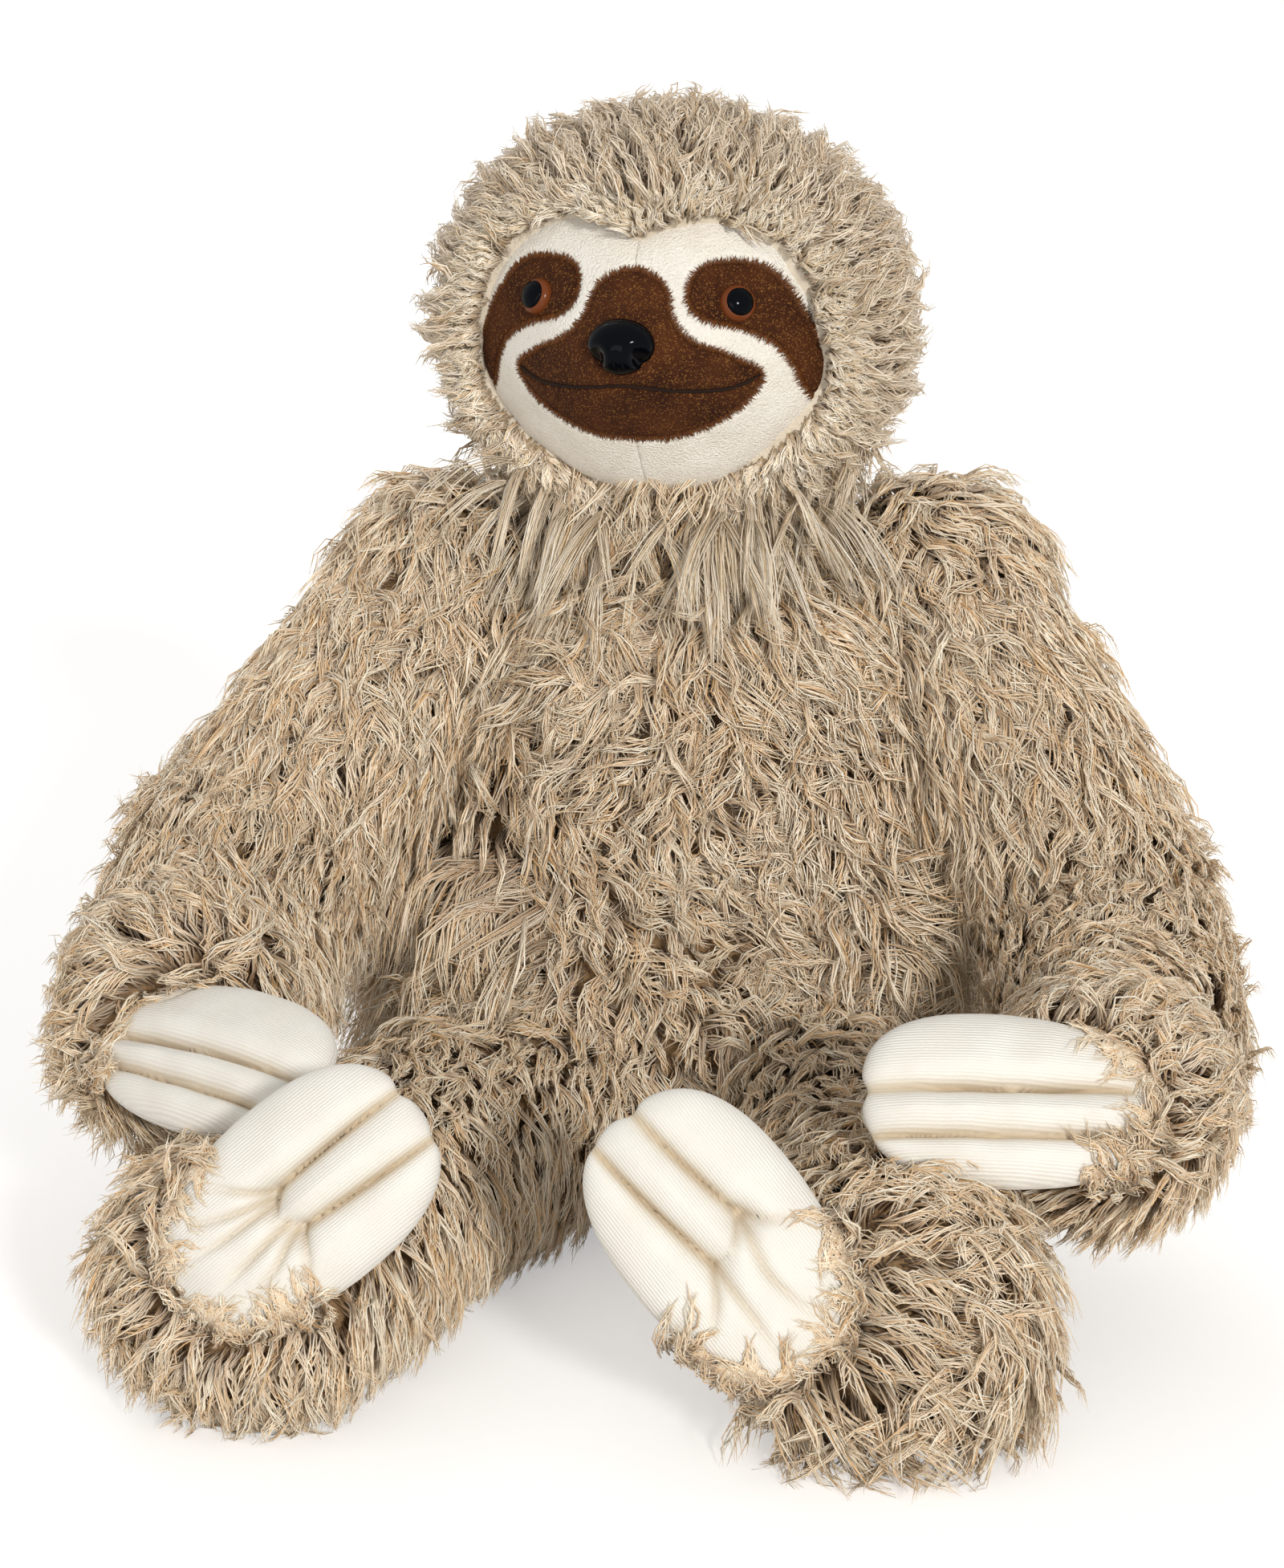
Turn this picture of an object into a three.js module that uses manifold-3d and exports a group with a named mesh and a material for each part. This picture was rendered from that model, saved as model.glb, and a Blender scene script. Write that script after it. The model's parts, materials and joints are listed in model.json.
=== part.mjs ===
// A sitting plush sloth with long fur, a short-plush face and knitted paws, built from its sewn pieces.
// Millimetres, Z up. The toy sits on the floor at Z = 0 and faces -Y. Left and right are the viewer's.

import * as THREE from 'three';
import { mergeVertices } from 'three/addons/utils/BufferGeometryUtils.js';
import Module from 'manifold-3d';

const wasm = await Module();
wasm.setup();

// Cloth thicknesses and clearances
const furThickness = 12;
const plushThickness = 5;
const knitThickness = 1.6;
const gap = 0.3;
const floorCut = 0.5;

// Torso: a pear that sits on its wide end
const torsoHeight = 350;
const torsoHalfWidth = 126;
const torsoHalfDepth = 110;
const bellyForward = 6;
const seatDome = 42;
const collarDome = 66;

// Neck: a short fur sleeve that turns in the torso and nods in the head
const neckRadius = 50;
const neckPivotHeight = 364;
const neckForward = 14;
const neckAside = 7;
const neckDepth = 42;
const barrelRadius = 43;

// Head, measured at the skin that the fur and the face panels are sewn on
const headHeight = 459;
const headForward = 20;
const headAside = 11;
const headHalfWidth = 100;
const headFrontDepth = 84;
const headBackDepth = 90;
const crownHeight = 88;
const jawHeight = 87;
const muzzleReach = 24;
const muzzleHalfWidth = 46;
const muzzleHalfHeight = 34;
const muzzleDrop = 4;
const headTurnDegrees = 13.5;

// Face panels, eyes and nose
const faceHalfWidth = 90;
const threadRadius = 1;
const eyeAside = 50;
const eyeUp = 22;
const eyeRadius = 9;
const eyeBulge = 5.5;
const pupilRadius = 6.4;
const pupilBulge = 6.6;
const stemRadius = 2.2;
const stemLength = 15;
const washerRadius = 8;
const washerThickness = 2.4;
const washerDepth = 5;
const noseUp = 4;
const noseHalfWidth = 16.5;
const noseHalfHeight = 13.5;
const noseBulge = 11;
const nostrilRadius = 4.2;

// Arms
const shoulderHalfSpan = 124;
const shoulderHeight = 320;
const shoulderRadius = 49;
const upperArmLength = 185;
const upperArmRadius = 49;
const elbowRadius = 51;
const forearmLength = 225;
const forearmRadius = 51;
const sleeveDome = 44;
const elbowLiftDegrees = 40;

// Legs: each one a straight sleeve that rolls in the hip
const hipHalfSpan = 74;
const hipForward = 45;
const legLength = 350;
const legRadius = 62;
const ankleDome = 34;
const hipHoleRadius = 30;

// Paws
const handLength = 136;
const handHalfWidth = 41;
const handHalfThickness = 21;
const cuffDepth = 27;
const footLength = 141;
const footHalfWidth = 45;
const footHalfThickness = 23;

// Counts of facets
const ringPoints = 12;
const domeRings = 3;
const torsoRings = 5;
const limbRings = 2;
const pawRings = 2;
const pawDomeRings = 3;
const headRings = 10;
const headSpokes = 20;
const smallSides = 9;
const ballSides = 14;
const ballRings = 8;
const eggRings = 6;
const mouthSteps = 14;
const threadSides = 6;

// Half width and half depth of the torso along its height, as shares
const torsoShares = [
  [0, 0.93, 0.92],
  [0.14, 0.98, 0.98],
  [0.34, 1, 1],
  [0.58, 0.96, 0.94],
  [0.78, 0.86, 0.82],
  [1, 0.72, 0.66],
];

// How the limbs swell and taper along their length, as shares of the limb's radius
const upperArmShares = [
  [0, 0.94, 0.94],
  [0.5, 1, 1],
  [1, 0.99, 0.99],
];
const forearmShares = [
  [0, 0.97, 0.97],
  [0.45, 1.03, 1.03],
  [0.8, 0.98, 0.98],
  [1, 0.9, 0.9],
];
const legShares = [
  [0, 0.94],
  [0.3, 0.87],
  [0.6, 0.86],
  [0.85, 0.97],
  [1, 0.96],
];

// Where the limbs point, one row for each side
const sides = {
  left: {
    sign: -1,
    upperArmAimShares: [-0.556, -0.42, -0.717],
    forearmPathShares: [[-0.07, -0.22, -0.15], [-0.085, -0.42, -0.185], [-0.134, -0.69, -0.18]],
    fingerAimShares: [0.74, -0.67, 0.03],
    palmAimShares: [-0.38, -0.42, 0.86],
    legAimShares: [-0.435, -0.9, 0],
    toeAimShares: [0.76, 0, 0.65],
    soleAimShares: [-0.24, -0.95, 0.2],
    footPlaceShares: [0.33, -0.06, 0.41],
  },
  right: {
    sign: 1,
    upperArmAimShares: [0.42, -0.43, -0.8],
    forearmPathShares: [[0.03, -0.3, -0.17], [-0.01, -0.62, -0.23], [-0.1, -1.08, -0.112]],
    fingerAimShares: [-0.985, -0.12, 0.1],
    palmAimShares: [0.156, -0.79, 0.592],
    legAimShares: [0.04, -1, 0],
    toeAimShares: [-0.593, 0, 0.805],
    soleAimShares: [0.1, -0.975, 0.2],
    footPlaceShares: [-0.57, -0.035, 0.365],
  },
};

// Half of each face outline as shares of the face's half width, from the middle line round to it again
const faceShares = [
  [0, 0.58], [0.12, 0.64], [0.26, 0.675], [0.38, 0.685], [0.55, 0.645], [0.71, 0.56], [0.82, 0.445],
  [0.9, 0.3], [0.965, 0.11], [1, -0.055], [1, -0.21], [0.955, -0.345], [0.865, -0.465], [0.755, -0.58],
  [0.59, -0.7], [0.4, -0.81], [0.2, -0.885], [0, -0.92],
];
const muzzleShares = [
  [0, 0.417], [0.09, 0.395], [0.17, 0.345], [0.205, 0.285], [0.225, 0.21], [0.28, 0.12], [0.37, 0.045],
  [0.48, -0.005], [0.58, -0.065], [0.665, -0.125], [0.67, -0.18], [0.6, -0.28], [0.5, -0.365],
  [0.37, -0.435], [0.22, -0.485], [0.09, -0.5], [0, -0.5],
];
const mouthShares = [
  [0, -0.172], [0.15, -0.19], [0.3, -0.211], [0.42, -0.217], [0.52, -0.211], [0.6, -0.185], [0.68, -0.14],
];

// A whole outline, because it doesn't reach the middle line
const eyePatchShares = [
  [0.31, 0.28], [0.315, 0.375], [0.375, 0.435], [0.5, 0.45], [0.63, 0.43], [0.735, 0.36], [0.82, 0.245],
  [0.9, 0.1], [0.97, -0.06], [1.05, -0.14], [1.1, -0.3], [0.98, -0.36], [0.925, -0.33], [0.875, -0.245],
  [0.83, -0.11], [0.745, 0.02], [0.62, 0.1], [0.51, 0.14], [0.41, 0.172], [0.335, 0.23],
];

// Across a paw: three fingers between two sewn channels
const fingerShares = [-1, -0.86, -0.56, -0.333, -0.12, 0.12, 0.333, 0.56, 0.86, 1];
const channelShares = [-0.333, 0.333];
const channelDepthShare = 0.36;
const channelEndShare = 0.4;
const channelFadeShare = 0.2;
const channelWidthShare = 0.15;
const fingertipNotchShare = 0.05;
const pawPower = 2.6;
const pawShares = [
  [0, 0.84, 0.9],
  [0.3, 0.93, 0.95],
  [0.6, 1, 1],
  [1, 0.97, 0.92],
];

// How round the ends are: 2 is a ball's curve, and more is flatter
const roundPower = 2;
const fingertipPower = 3.2;
const seatPower = 4;

// Shares of the piece that each is named for
const pawDomeShare = 0.32;
const rootShare = 0.4;
const muzzleBlendShare = 0.25;
const nostrilAsideShare = 0.62;
const nostrilDropShare = 0.62;
const nostrilProudShare = 0.62;

const colours = {
  fur: new THREE.MeshStandardMaterial({ color: 0xb9a88a, roughness: 0.95, metalness: 0 }),
  headFur: new THREE.MeshStandardMaterial({ color: 0xafa18a, roughness: 0.95, metalness: 0 }),
  filling: new THREE.MeshStandardMaterial({ color: 0xf2f2ee, roughness: 1, metalness: 0 }),
  whitePlush: new THREE.MeshStandardMaterial({ color: 0xf1ece0, roughness: 0.9, metalness: 0 }),
  brownPlush: new THREE.MeshStandardMaterial({ color: 0x5a3217, roughness: 0.85, metalness: 0 }),
  knit: new THREE.MeshStandardMaterial({ color: 0xf7eedb, roughness: 0.9, metalness: 0 }),
  thread: new THREE.MeshStandardMaterial({ color: 0x24140b, roughness: 0.7, metalness: 0 }),
  iris: new THREE.MeshStandardMaterial({ color: 0x8a4a28, roughness: 0.2, metalness: 0 }),
  black: new THREE.MeshStandardMaterial({ color: 0x0a0b10, roughness: 0.12, metalness: 0 }),
  washer: new THREE.MeshStandardMaterial({ color: 0xe6e6e2, roughness: 0.5, metalness: 0 }),
};

const up = new THREE.Vector3(0, 0, 1);
const across = new THREE.Vector3(1, 0, 0);
const aim = (shares) => new THREE.Vector3(...shares).normalize();
const along = (start, shares, length) => new THREE.Vector3(...shares).multiplyScalar(length).add(start);

// Makes a boolean solid of a closed geometry.
function solidOf(geometry) {
  const bare = geometry.clone();
  bare.deleteAttribute('normal');
  bare.deleteAttribute('uv');
  const merged = mergeVertices(bare);
  const vertProperties = new Float32Array(merged.attributes.position.array);
  const triVerts = new Uint32Array(merged.index.array);
  return new wasm.Manifold(new wasm.Mesh({ numProp: 3, vertProperties, triVerts }));
}

// Turns a boolean solid back into a geometry.
function geometryOf(solid) {
  const mesh = solid.getMesh();
  const geometry = new THREE.BufferGeometry();
  geometry.setAttribute('position', new THREE.BufferAttribute(mesh.vertProperties, 3));
  geometry.setIndex(new THREE.BufferAttribute(mesh.triVerts, 1));
  geometry.computeVertexNormals();
  return geometry;
}

// Closes rings of points into one skin with a tip at each end, its faces pointing out.
function closedSkin(startTip, rings, endTip) {
  const sidesOfRing = rings[0].length;
  const points = [startTip, ...rings.flat(), endTip];
  const last = points.length - 1;
  const faces = [];
  for (let k = 0; k < sidesOfRing; k += 1) {
    const next = (k + 1) % sidesOfRing;
    faces.push([0, 1 + next, 1 + k]);
    for (let r = 0; r < rings.length - 1; r += 1) {
      const here = 1 + r * sidesOfRing;
      const there = here + sidesOfRing;
      faces.push([here + k, here + next, there + next], [here + k, there + next, there + k]);
    }
    const end = last - sidesOfRing;
    faces.push([last, end + k, end + next]);
  }
  let volume = 0;
  for (const [a, b, c] of faces) {
    volume += points[a].dot(new THREE.Vector3().crossVectors(points[b], points[c]));
  }
  const outward = volume > 0 ? faces : faces.map(([a, b, c]) => [a, c, b]);
  const geometry = new THREE.BufferGeometry().setFromPoints(points);
  geometry.setIndex(outward.flat());
  return geometry;
}

// Reads a table of [place, value, ...] rows at a place between its rows.
function shareAt(table, place) {
  const next = table.findIndex((row) => row[0] >= place);
  if (next <= 0) return (next === 0 ? table[0] : table.at(-1)).slice(1);
  const [low, high] = [table[next - 1], table[next]];
  const mix = (place - low[0]) / (high[0] - low[0]);
  return low.slice(1).map((value, k) => value + (high[k + 1] - value) * mix);
}

// The angle of a ring on a rounded end: the flatter the end, the nearer the first ring is to the tip.
function domeTurn(share, power) {
  return (Math.PI / 2) * share ** (power / 2);
}

// How full a rounded end is at a distance from its tip.
function domeFullness(distance, length, power) {
  const left = Math.max(0, 1 - distance / length);
  return (1 - left ** power) ** (1 / power);
}

// A round or oval section, as shares of the half width and half depth.
function ovalSection() {
  return Array.from({ length: ringPoints }, (_, k) => {
    const angle = (2 * Math.PI * k) / ringPoints;
    return [Math.cos(angle), Math.sin(angle), 0];
  });
}

// A stuffed form: sections strung on a middle line, domed at both ends, drawn in by an inset.
function stuffedForm(form) {
  const { path, half, shares, side, domes, powers, rings } = form;
  const { inset = 0, endRings = domeRings, section = ovalSection } = form;
  const curve = new THREE.CatmullRomCurve3(path);
  const length = curve.getLength();
  const [startDome, endDome] = domes.map((dome) => dome - inset);
  const [startPower, endPower] = powers;
  const distances = [];
  for (let k = 1; k <= endRings; k += 1) {
    const turn = domeTurn(k / endRings, startPower);
    distances.push(inset + startDome * (1 - Math.max(0, Math.cos(turn)) ** (2 / startPower)));
  }
  const firstFull = inset + startDome;
  const lastFull = length - inset - endDome;
  for (let k = 1; k <= rings; k += 1) {
    distances.push(firstFull + ((lastFull - firstFull) * k) / (rings + 1));
  }
  for (let k = endRings; k >= 1; k -= 1) {
    const turn = domeTurn(k / endRings, endPower);
    distances.push(length - inset - endDome * (1 - Math.max(0, Math.cos(turn)) ** (2 / endPower)));
  }
  const middleAt = (distance) => {
    const place = THREE.MathUtils.clamp(distance / length, 0, 1);
    const tangent = curve.getTangentAt(place);
    const centre = curve.getPointAt(place).addScaledVector(tangent, distance - place * length);
    return { place, tangent, centre };
  };
  const ringsOfPoints = distances.map((distance) => {
    const { place, tangent, centre } = middleAt(distance);
    const wide = side.clone().addScaledVector(tangent, -side.dot(tangent)).normalize();
    const deep = new THREE.Vector3().crossVectors(tangent, wide);
    const fromStart = domeFullness(distance - inset, startDome, startPower);
    const fromEnd = domeFullness(length - inset - distance, endDome, endPower);
    const [widthShare, depthShare] = shareAt(shares, place);
    const halfWidth = (half[0] * widthShare - inset) * fromStart * fromEnd;
    const halfDepth = (half[1] * depthShare - inset) * fromStart * fromEnd;
    return section(place, fromEnd).map(([a, d, t]) => centre.clone()
      .addScaledVector(wide, a * halfWidth)
      .addScaledVector(deep, d * halfDepth)
      .addScaledVector(tangent, t * length));
  });
  return closedSkin(middleAt(inset).centre, ringsOfPoints, middleAt(length - inset).centre);
}

// Turns a geometry made along +Y so that it lies along another axis from a point.
function laidAlong(geometry, start, axis) {
  const turn = new THREE.Quaternion().setFromUnitVectors(new THREE.Vector3(0, 1, 0), axis);
  return geometry.applyQuaternion(turn).translate(start.x, start.y, start.z);
}

// A ball whose poles lie on the joint's axis.
function ball(centre, axis, radius) {
  return solidOf(laidAlong(new THREE.SphereGeometry(radius, ballSides, ballRings), centre, axis));
}

// The hollow for a ball, wide enough that its flats clear the ball's corners at any turn.
function ballSocket(centre, axis, radius) {
  const wide = (radius + gap) / Math.cos(Math.PI / ballSides);
  const sphere = new THREE.SphereGeometry(wide, ballSides, ballRings).rotateY(Math.PI / ballSides);
  return solidOf(laidAlong(sphere, centre, axis));
}

// A round body turned from [radius, height] points, lying along an axis.
function turned(points, start, axis, twist = 0) {
  const profile = points.map(([radius, height]) => new THREE.Vector2(radius, height));
  return solidOf(laidAlong(new THREE.LatheGeometry(profile, ballSides).rotateY(twist), start, axis));
}

function rod(start, axis, radius, length, roundSides = smallSides) {
  const geometry = new THREE.CylinderGeometry(radius, radius, length, roundSides).translate(0, length / 2, 0);
  return solidOf(laidAlong(geometry, start, axis));
}

// Half of space on the far side of a plane, as a box that is larger than the toy.
function halfSpace(point, normal) {
  const reach = torsoHeight + legLength + headHeight;
  const box = new THREE.BoxGeometry(reach, reach, reach).translate(0, reach / 2, 0);
  return solidOf(laidAlong(box, point, normal));
}

// The places of the neck and head
const neckPivot = new THREE.Vector3(-neckAside, -neckForward, neckPivotHeight);
const headCentre = new THREE.Vector3(-headAside, -headForward, headHeight);
const headTurn = THREE.MathUtils.degToRad(-headTurnDegrees);

// One sewn piece: a mesh in the frame of the group that carries it.
function piece(group, name, solid, material) {
  group.updateWorldMatrix(true, false);
  const geometry = geometryOf(solid);
  geometry.applyMatrix4(group.matrixWorld.clone().invert());
  const mesh = new THREE.Mesh(geometry, material);
  mesh.name = name;
  group.add(mesh);
  return mesh;
}

function groupAt(parent, place) {
  const group = new THREE.Group();
  group.position.copy(parent.worldToLocal(place.clone()));
  parent.add(group);
  group.updateWorldMatrix(true, false);
  return group;
}

// Legs
function legProfile(grown) {
  const radius = (place) => legRadius * shareAt(legShares, place)[0] + grown;
  const points = [[0, -legRadius * legShares[0][1] - grown]];
  for (let k = 1; k <= domeRings; k += 1) {
    const turn = (Math.PI / 2) * (k / (domeRings + 1));
    points.push([radius(0) * Math.sin(turn), -radius(0) * Math.cos(turn)]);
  }
  const straight = legLength - ankleDome;
  for (let k = 0; k <= limbRings; k += 1) {
    const place = (straight * k) / limbRings;
    points.push([radius(place / legLength), place]);
  }
  for (let k = 1; k <= domeRings; k += 1) {
    const turn = (Math.PI / 2) * (k / (domeRings + 1));
    points.push([radius(1) * Math.cos(turn), straight + (ankleDome + grown) * Math.sin(turn)]);
  }
  points.push([0, legLength + grown]);
  return points;
}

function legFrame(side) {
  const { sign, legAimShares } = sides[side];
  const hip = new THREE.Vector3(sign * hipHalfSpan, -hipForward, legRadius - floorCut);
  return { hip, axis: aim(legAimShares) };
}

function legForm(side, grown) {
  const { hip, axis } = legFrame(side);
  return turned(legProfile(grown), hip, axis);
}

function hipSocket(side) {
  const { hip, axis } = legFrame(side);
  const wide = (legRadius + gap) / Math.cos(Math.PI / ballSides) - legRadius;
  return turned(legProfile(wide), hip, axis, Math.PI / ballSides);
}

// Paws: a flat stuffed form with sewn channels, its fingers along the middle line
function pawSection(place, fullness) {
  const fade = THREE.MathUtils.smoothstep(place, channelEndShare - channelFadeShare, channelEndShare);
  const dip = (a) => channelShares.reduce((sum, channel) => {
    const reach = (a - channel) / channelWidthShare;
    return sum + Math.exp(-reach * reach);
  }, 0);
  const row = (a, upward) => {
    const round = (1 - Math.abs(a) ** pawPower) ** (1 / pawPower);
    const notch = -fingertipNotchShare * dip(a) * (1 - fullness);
    return [a, upward * round * (1 - channelDepthShare * dip(a) * fade), notch];
  };
  const top = fingerShares.map((a) => row(a, 1));
  const bottom = fingerShares.slice(1, -1).reverse().map((a) => row(a, -1));
  return [...top, ...bottom];
}

function pawForm(frame, inset) {
  const { start, finger, palm, length, half } = frame;
  const side = new THREE.Vector3().crossVectors(palm, finger);
  return solidOf(stuffedForm({
    path: [start, along(start, finger, length / 2), along(start, finger, length)],
    half,
    shares: pawShares,
    side,
    domes: [length * pawDomeShare, length * pawDomeShare],
    powers: [fingertipPower, fingertipPower],
    rings: pawRings,
    endRings: pawDomeRings,
    inset,
    section: pawSection,
  }));
}

// The front panel, the back panel and the filling of a paw.
function pawPieces(group, names, frame) {
  const outer = pawForm(frame, 0);
  const inner = pawForm(frame, knitThickness);
  const shell = outer.subtract(inner);
  const middle = along(frame.start, frame.finger, frame.length / 2);
  const back = frame.palm.clone().negate();
  const front = halfSpace(middle.clone().addScaledVector(frame.palm, gap / 2), frame.palm);
  const rear = halfSpace(middle.clone().addScaledVector(back, gap / 2), back);
  piece(group, names[0], shell.intersect(front), colours.knit);
  piece(group, names[1], shell.intersect(rear), colours.knit);
  piece(group, names[2], pawForm(frame, knitThickness + gap), colours.filling);
}

function handFrame(side) {
  const { fingerAimShares, palmAimShares } = sides[side];
  const finger = aim(fingerAimShares);
  const palm = aim(palmAimShares);
  palm.addScaledVector(finger, -palm.dot(finger)).normalize();
  const start = sleeveEnd(side).addScaledVector(finger, -cuffDepth);
  return { start, finger, palm, length: handLength, half: [handHalfWidth, handHalfThickness] };
}

function footFrame(side) {
  const { toeAimShares, soleAimShares, footPlaceShares } = sides[side];
  const { hip, axis } = legFrame(side);
  const palm = aim(soleAimShares);
  const finger = aim(toeAimShares);
  finger.addScaledVector(palm, -palm.dot(finger)).normalize();
  const ankle = along(hip, axis.toArray(), legLength);
  const centre = along(ankle, footPlaceShares, footLength);
  const start = centre.addScaledVector(finger, -footLength / 2);
  return { start, finger, palm, length: footLength, half: [footHalfWidth, footHalfThickness] };
}

// Arms: the upper sleeve hangs from a ball in the shoulder and carries the forearm on a ball
const shoulderAxis = new THREE.Vector3(0, 1, 0);

function shoulderOf(side) {
  return new THREE.Vector3(sides[side].sign * shoulderHalfSpan, 0, shoulderHeight);
}

function elbowOf(side) {
  return along(shoulderOf(side), aim(sides[side].upperArmAimShares).toArray(), upperArmLength);
}

function sleevePath(side) {
  const elbow = elbowOf(side);
  return sides[side].forearmPathShares.map((shares) => along(elbow, shares, forearmLength));
}

function sleeveEnd(side) {
  return sleevePath(side).at(-1);
}

// The elbow bends about the axis square to both parts of the arm.
function elbowAxis(side) {
  const upperAim = aim(sides[side].upperArmAimShares);
  const foreAim = sleevePath(side)[0].sub(elbowOf(side)).normalize();
  return new THREE.Vector3().crossVectors(upperAim, foreAim).normalize();
}

// A ball in the shoulder and the sleeve that leaves it, as long as the elbow's ball.
function upperArmForm(side, inset) {
  const shoulder = shoulderOf(side);
  const elbow = elbowOf(side);
  const armAim = elbow.clone().sub(shoulder).normalize();
  const root = ball(shoulder, shoulderAxis, shoulderRadius);
  const start = shoulder.clone().addScaledVector(armAim, -rootShare * shoulderRadius);
  const end = elbow.clone().addScaledVector(armAim, elbowRadius);
  const sleeve = solidOf(stuffedForm({
    path: [start, start.clone().lerp(end, 0.5), end],
    half: [upperArmRadius, upperArmRadius],
    shares: upperArmShares,
    side: shoulderAxis,
    domes: [shoulderRadius, elbowRadius],
    powers: [roundPower, roundPower],
    rings: limbRings,
    inset,
  }));
  return inset > 0 ? sleeve : sleeve.add(root);
}

// The planes that meet in the crease when the elbow is bent as far as it goes: one stays with each part.
function creasePlanes(side) {
  const elbow = elbowOf(side);
  const axis = elbowAxis(side);
  const lift = THREE.MathUtils.degToRad(elbowLiftDegrees);
  const upperAim = aim(sides[side].upperArmAimShares);
  const foreAim = sleevePath(side)[0].sub(elbow).normalize();
  const bentAim = foreAim.clone().applyAxisAngle(axis, lift);
  const upperNormal = upperAim.add(bentAim).normalize();
  const forearmNormal = upperNormal.clone().applyAxisAngle(axis, -lift);
  return { elbow, axis, foreAim, upperNormal, forearmNormal };
}

function forearmForm(side, inset) {
  const { elbow, axis, foreAim, forearmNormal } = creasePlanes(side);
  const start = elbow.clone().addScaledVector(foreAim, -rootShare * elbowRadius);
  const sleeve = solidOf(stuffedForm({
    path: [start, ...sleevePath(side)],
    half: [forearmRadius, forearmRadius],
    shares: forearmShares,
    side: across,
    domes: [elbowRadius, sleeveDome],
    powers: [roundPower, roundPower],
    rings: limbRings,
    inset,
  }));
  const crease = elbow.clone().addScaledVector(forearmNormal, gap / 2 + inset);
  const trimmed = sleeve.intersect(halfSpace(crease, forearmNormal));
  return inset > 0 ? trimmed : trimmed.add(ball(elbow, axis, elbowRadius));
}

// Torso
function torsoForm(inset) {
  return solidOf(stuffedForm({
    path: [
      new THREE.Vector3(0, 0, -floorCut),
      new THREE.Vector3(0, -bellyForward, torsoHeight / 3),
      new THREE.Vector3(0, -bellyForward, torsoHeight * 2 / 3),
      new THREE.Vector3(0, 0, torsoHeight),
    ],
    half: [torsoHalfWidth, torsoHalfDepth],
    shares: torsoShares,
    side: across,
    domes: [seatDome, collarDome],
    powers: [seatPower, roundPower],
    rings: torsoRings,
    inset,
  }));
}

// Neck: a ball that carries the head, on a barrel that turns in the collar
const nodAxis = across.clone().applyAxisAngle(up, headTurn);
const neckBase = neckPivot.clone().addScaledVector(up, -neckDepth);

function neckForm(inset, base) {
  const barrel = rod(base, up, barrelRadius - inset, neckPivot.z - base.z, ballSides);
  return inset > 0 ? barrel : barrel.add(ball(neckPivot, nodAxis, neckRadius));
}

function collarHole() {
  const wide = (barrelRadius + gap) / Math.cos(Math.PI / ballSides);
  const base = neckBase.clone().addScaledVector(up, -gap);
  return rod(base, up, wide, neckDepth + neckRadius, ballSides).add(ballSocket(neckPivot, up, neckRadius));
}

// Head: an egg with a muzzle that swells out of its front, in the head's own frame
const inHead = new THREE.Matrix4().makeRotationZ(headTurn).setPosition(headCentre);

function muzzleSwell(x, z) {
  const wide = x / muzzleHalfWidth;
  const high = (z + muzzleDrop) / muzzleHalfHeight;
  return muzzleReach * Math.exp(-wide * wide - high * high);
}

// How far the face's surface lies in front of the head's middle.
function faceForward(x, z, grown) {
  const halfHeight = (z > 0 ? crownHeight : jawHeight) + grown;
  const round = 1 - (x / (headHalfWidth + grown)) ** 2 - (z / halfHeight) ** 2;
  return (headFrontDepth + grown) * Math.sqrt(Math.max(0, round)) + muzzleSwell(x, z);
}

function headForm(grown) {
  const rings = [];
  for (let r = 1; r <= headRings; r += 1) {
    const polar = (Math.PI * r) / (headRings + 1);
    const front = Math.cos(polar);
    rings.push(Array.from({ length: headSpokes }, (_, k) => {
      const spoke = (2 * Math.PI * k) / headSpokes;
      const x = (headHalfWidth + grown) * Math.sin(polar) * Math.cos(spoke);
      const rise = Math.sin(polar) * Math.sin(spoke);
      const z = ((rise > 0 ? crownHeight : jawHeight) + grown) * rise;
      const depth = (front > 0 ? headFrontDepth : headBackDepth) + grown;
      const swell = muzzleSwell(x, z) * THREE.MathUtils.smoothstep(front, 0, muzzleBlendShare);
      return new THREE.Vector3(x, -depth * front - swell, z);
    }));
  }
  const nose = new THREE.Vector3(0, -faceForward(0, 0, grown), 0);
  const nape = new THREE.Vector3(0, headBackDepth + grown, 0);
  return solidOf(closedSkin(nose, rings, nape).applyMatrix4(inHead));
}

// A half outline and its mirror image, as one closed outline.
function mirrored(half) {
  const otherHalf = half.slice(1, -1).reverse().map(([x, z]) => [-x, z]);
  return [...half, ...otherHalf];
}

function outlineOf(shares) {
  const points = shares.map(([x, z]) => new THREE.Vector2(x, z).multiplyScalar(faceHalfWidth));
  return THREE.ShapeUtils.isClockWise(points) ? points.reverse() : points;
}

// Moves every point of an outline out along its normal.
function grownOutline(points, grown) {
  return points.map((point, k) => {
    const before = points.at(k - 1);
    const after = points[(k + 1) % points.length];
    const edge = after.clone().sub(before).normalize();
    return point.clone().add(new THREE.Vector2(edge.y, -edge.x).multiplyScalar(grown));
  });
}

// A prism that cuts an outline out of the front of the head.
function faceCutter(points, grown = 0) {
  const depth = headFrontDepth + muzzleReach + noseBulge + plushThickness;
  const shape = new THREE.Shape(grownOutline(points, grown));
  const prism = new THREE.ExtrudeGeometry(shape, { depth, bevelEnabled: false }).rotateX(Math.PI / 2);
  return solidOf(prism.applyMatrix4(inHead));
}

const faceOutline = outlineOf(mirrored(faceShares));
const muzzleOutline = outlineOf(mirrored(muzzleShares));
const eyePatchOutlines = {
  left: outlineOf(eyePatchShares.map(([x, z]) => [-x, z])),
  right: outlineOf(eyePatchShares),
};

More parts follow.
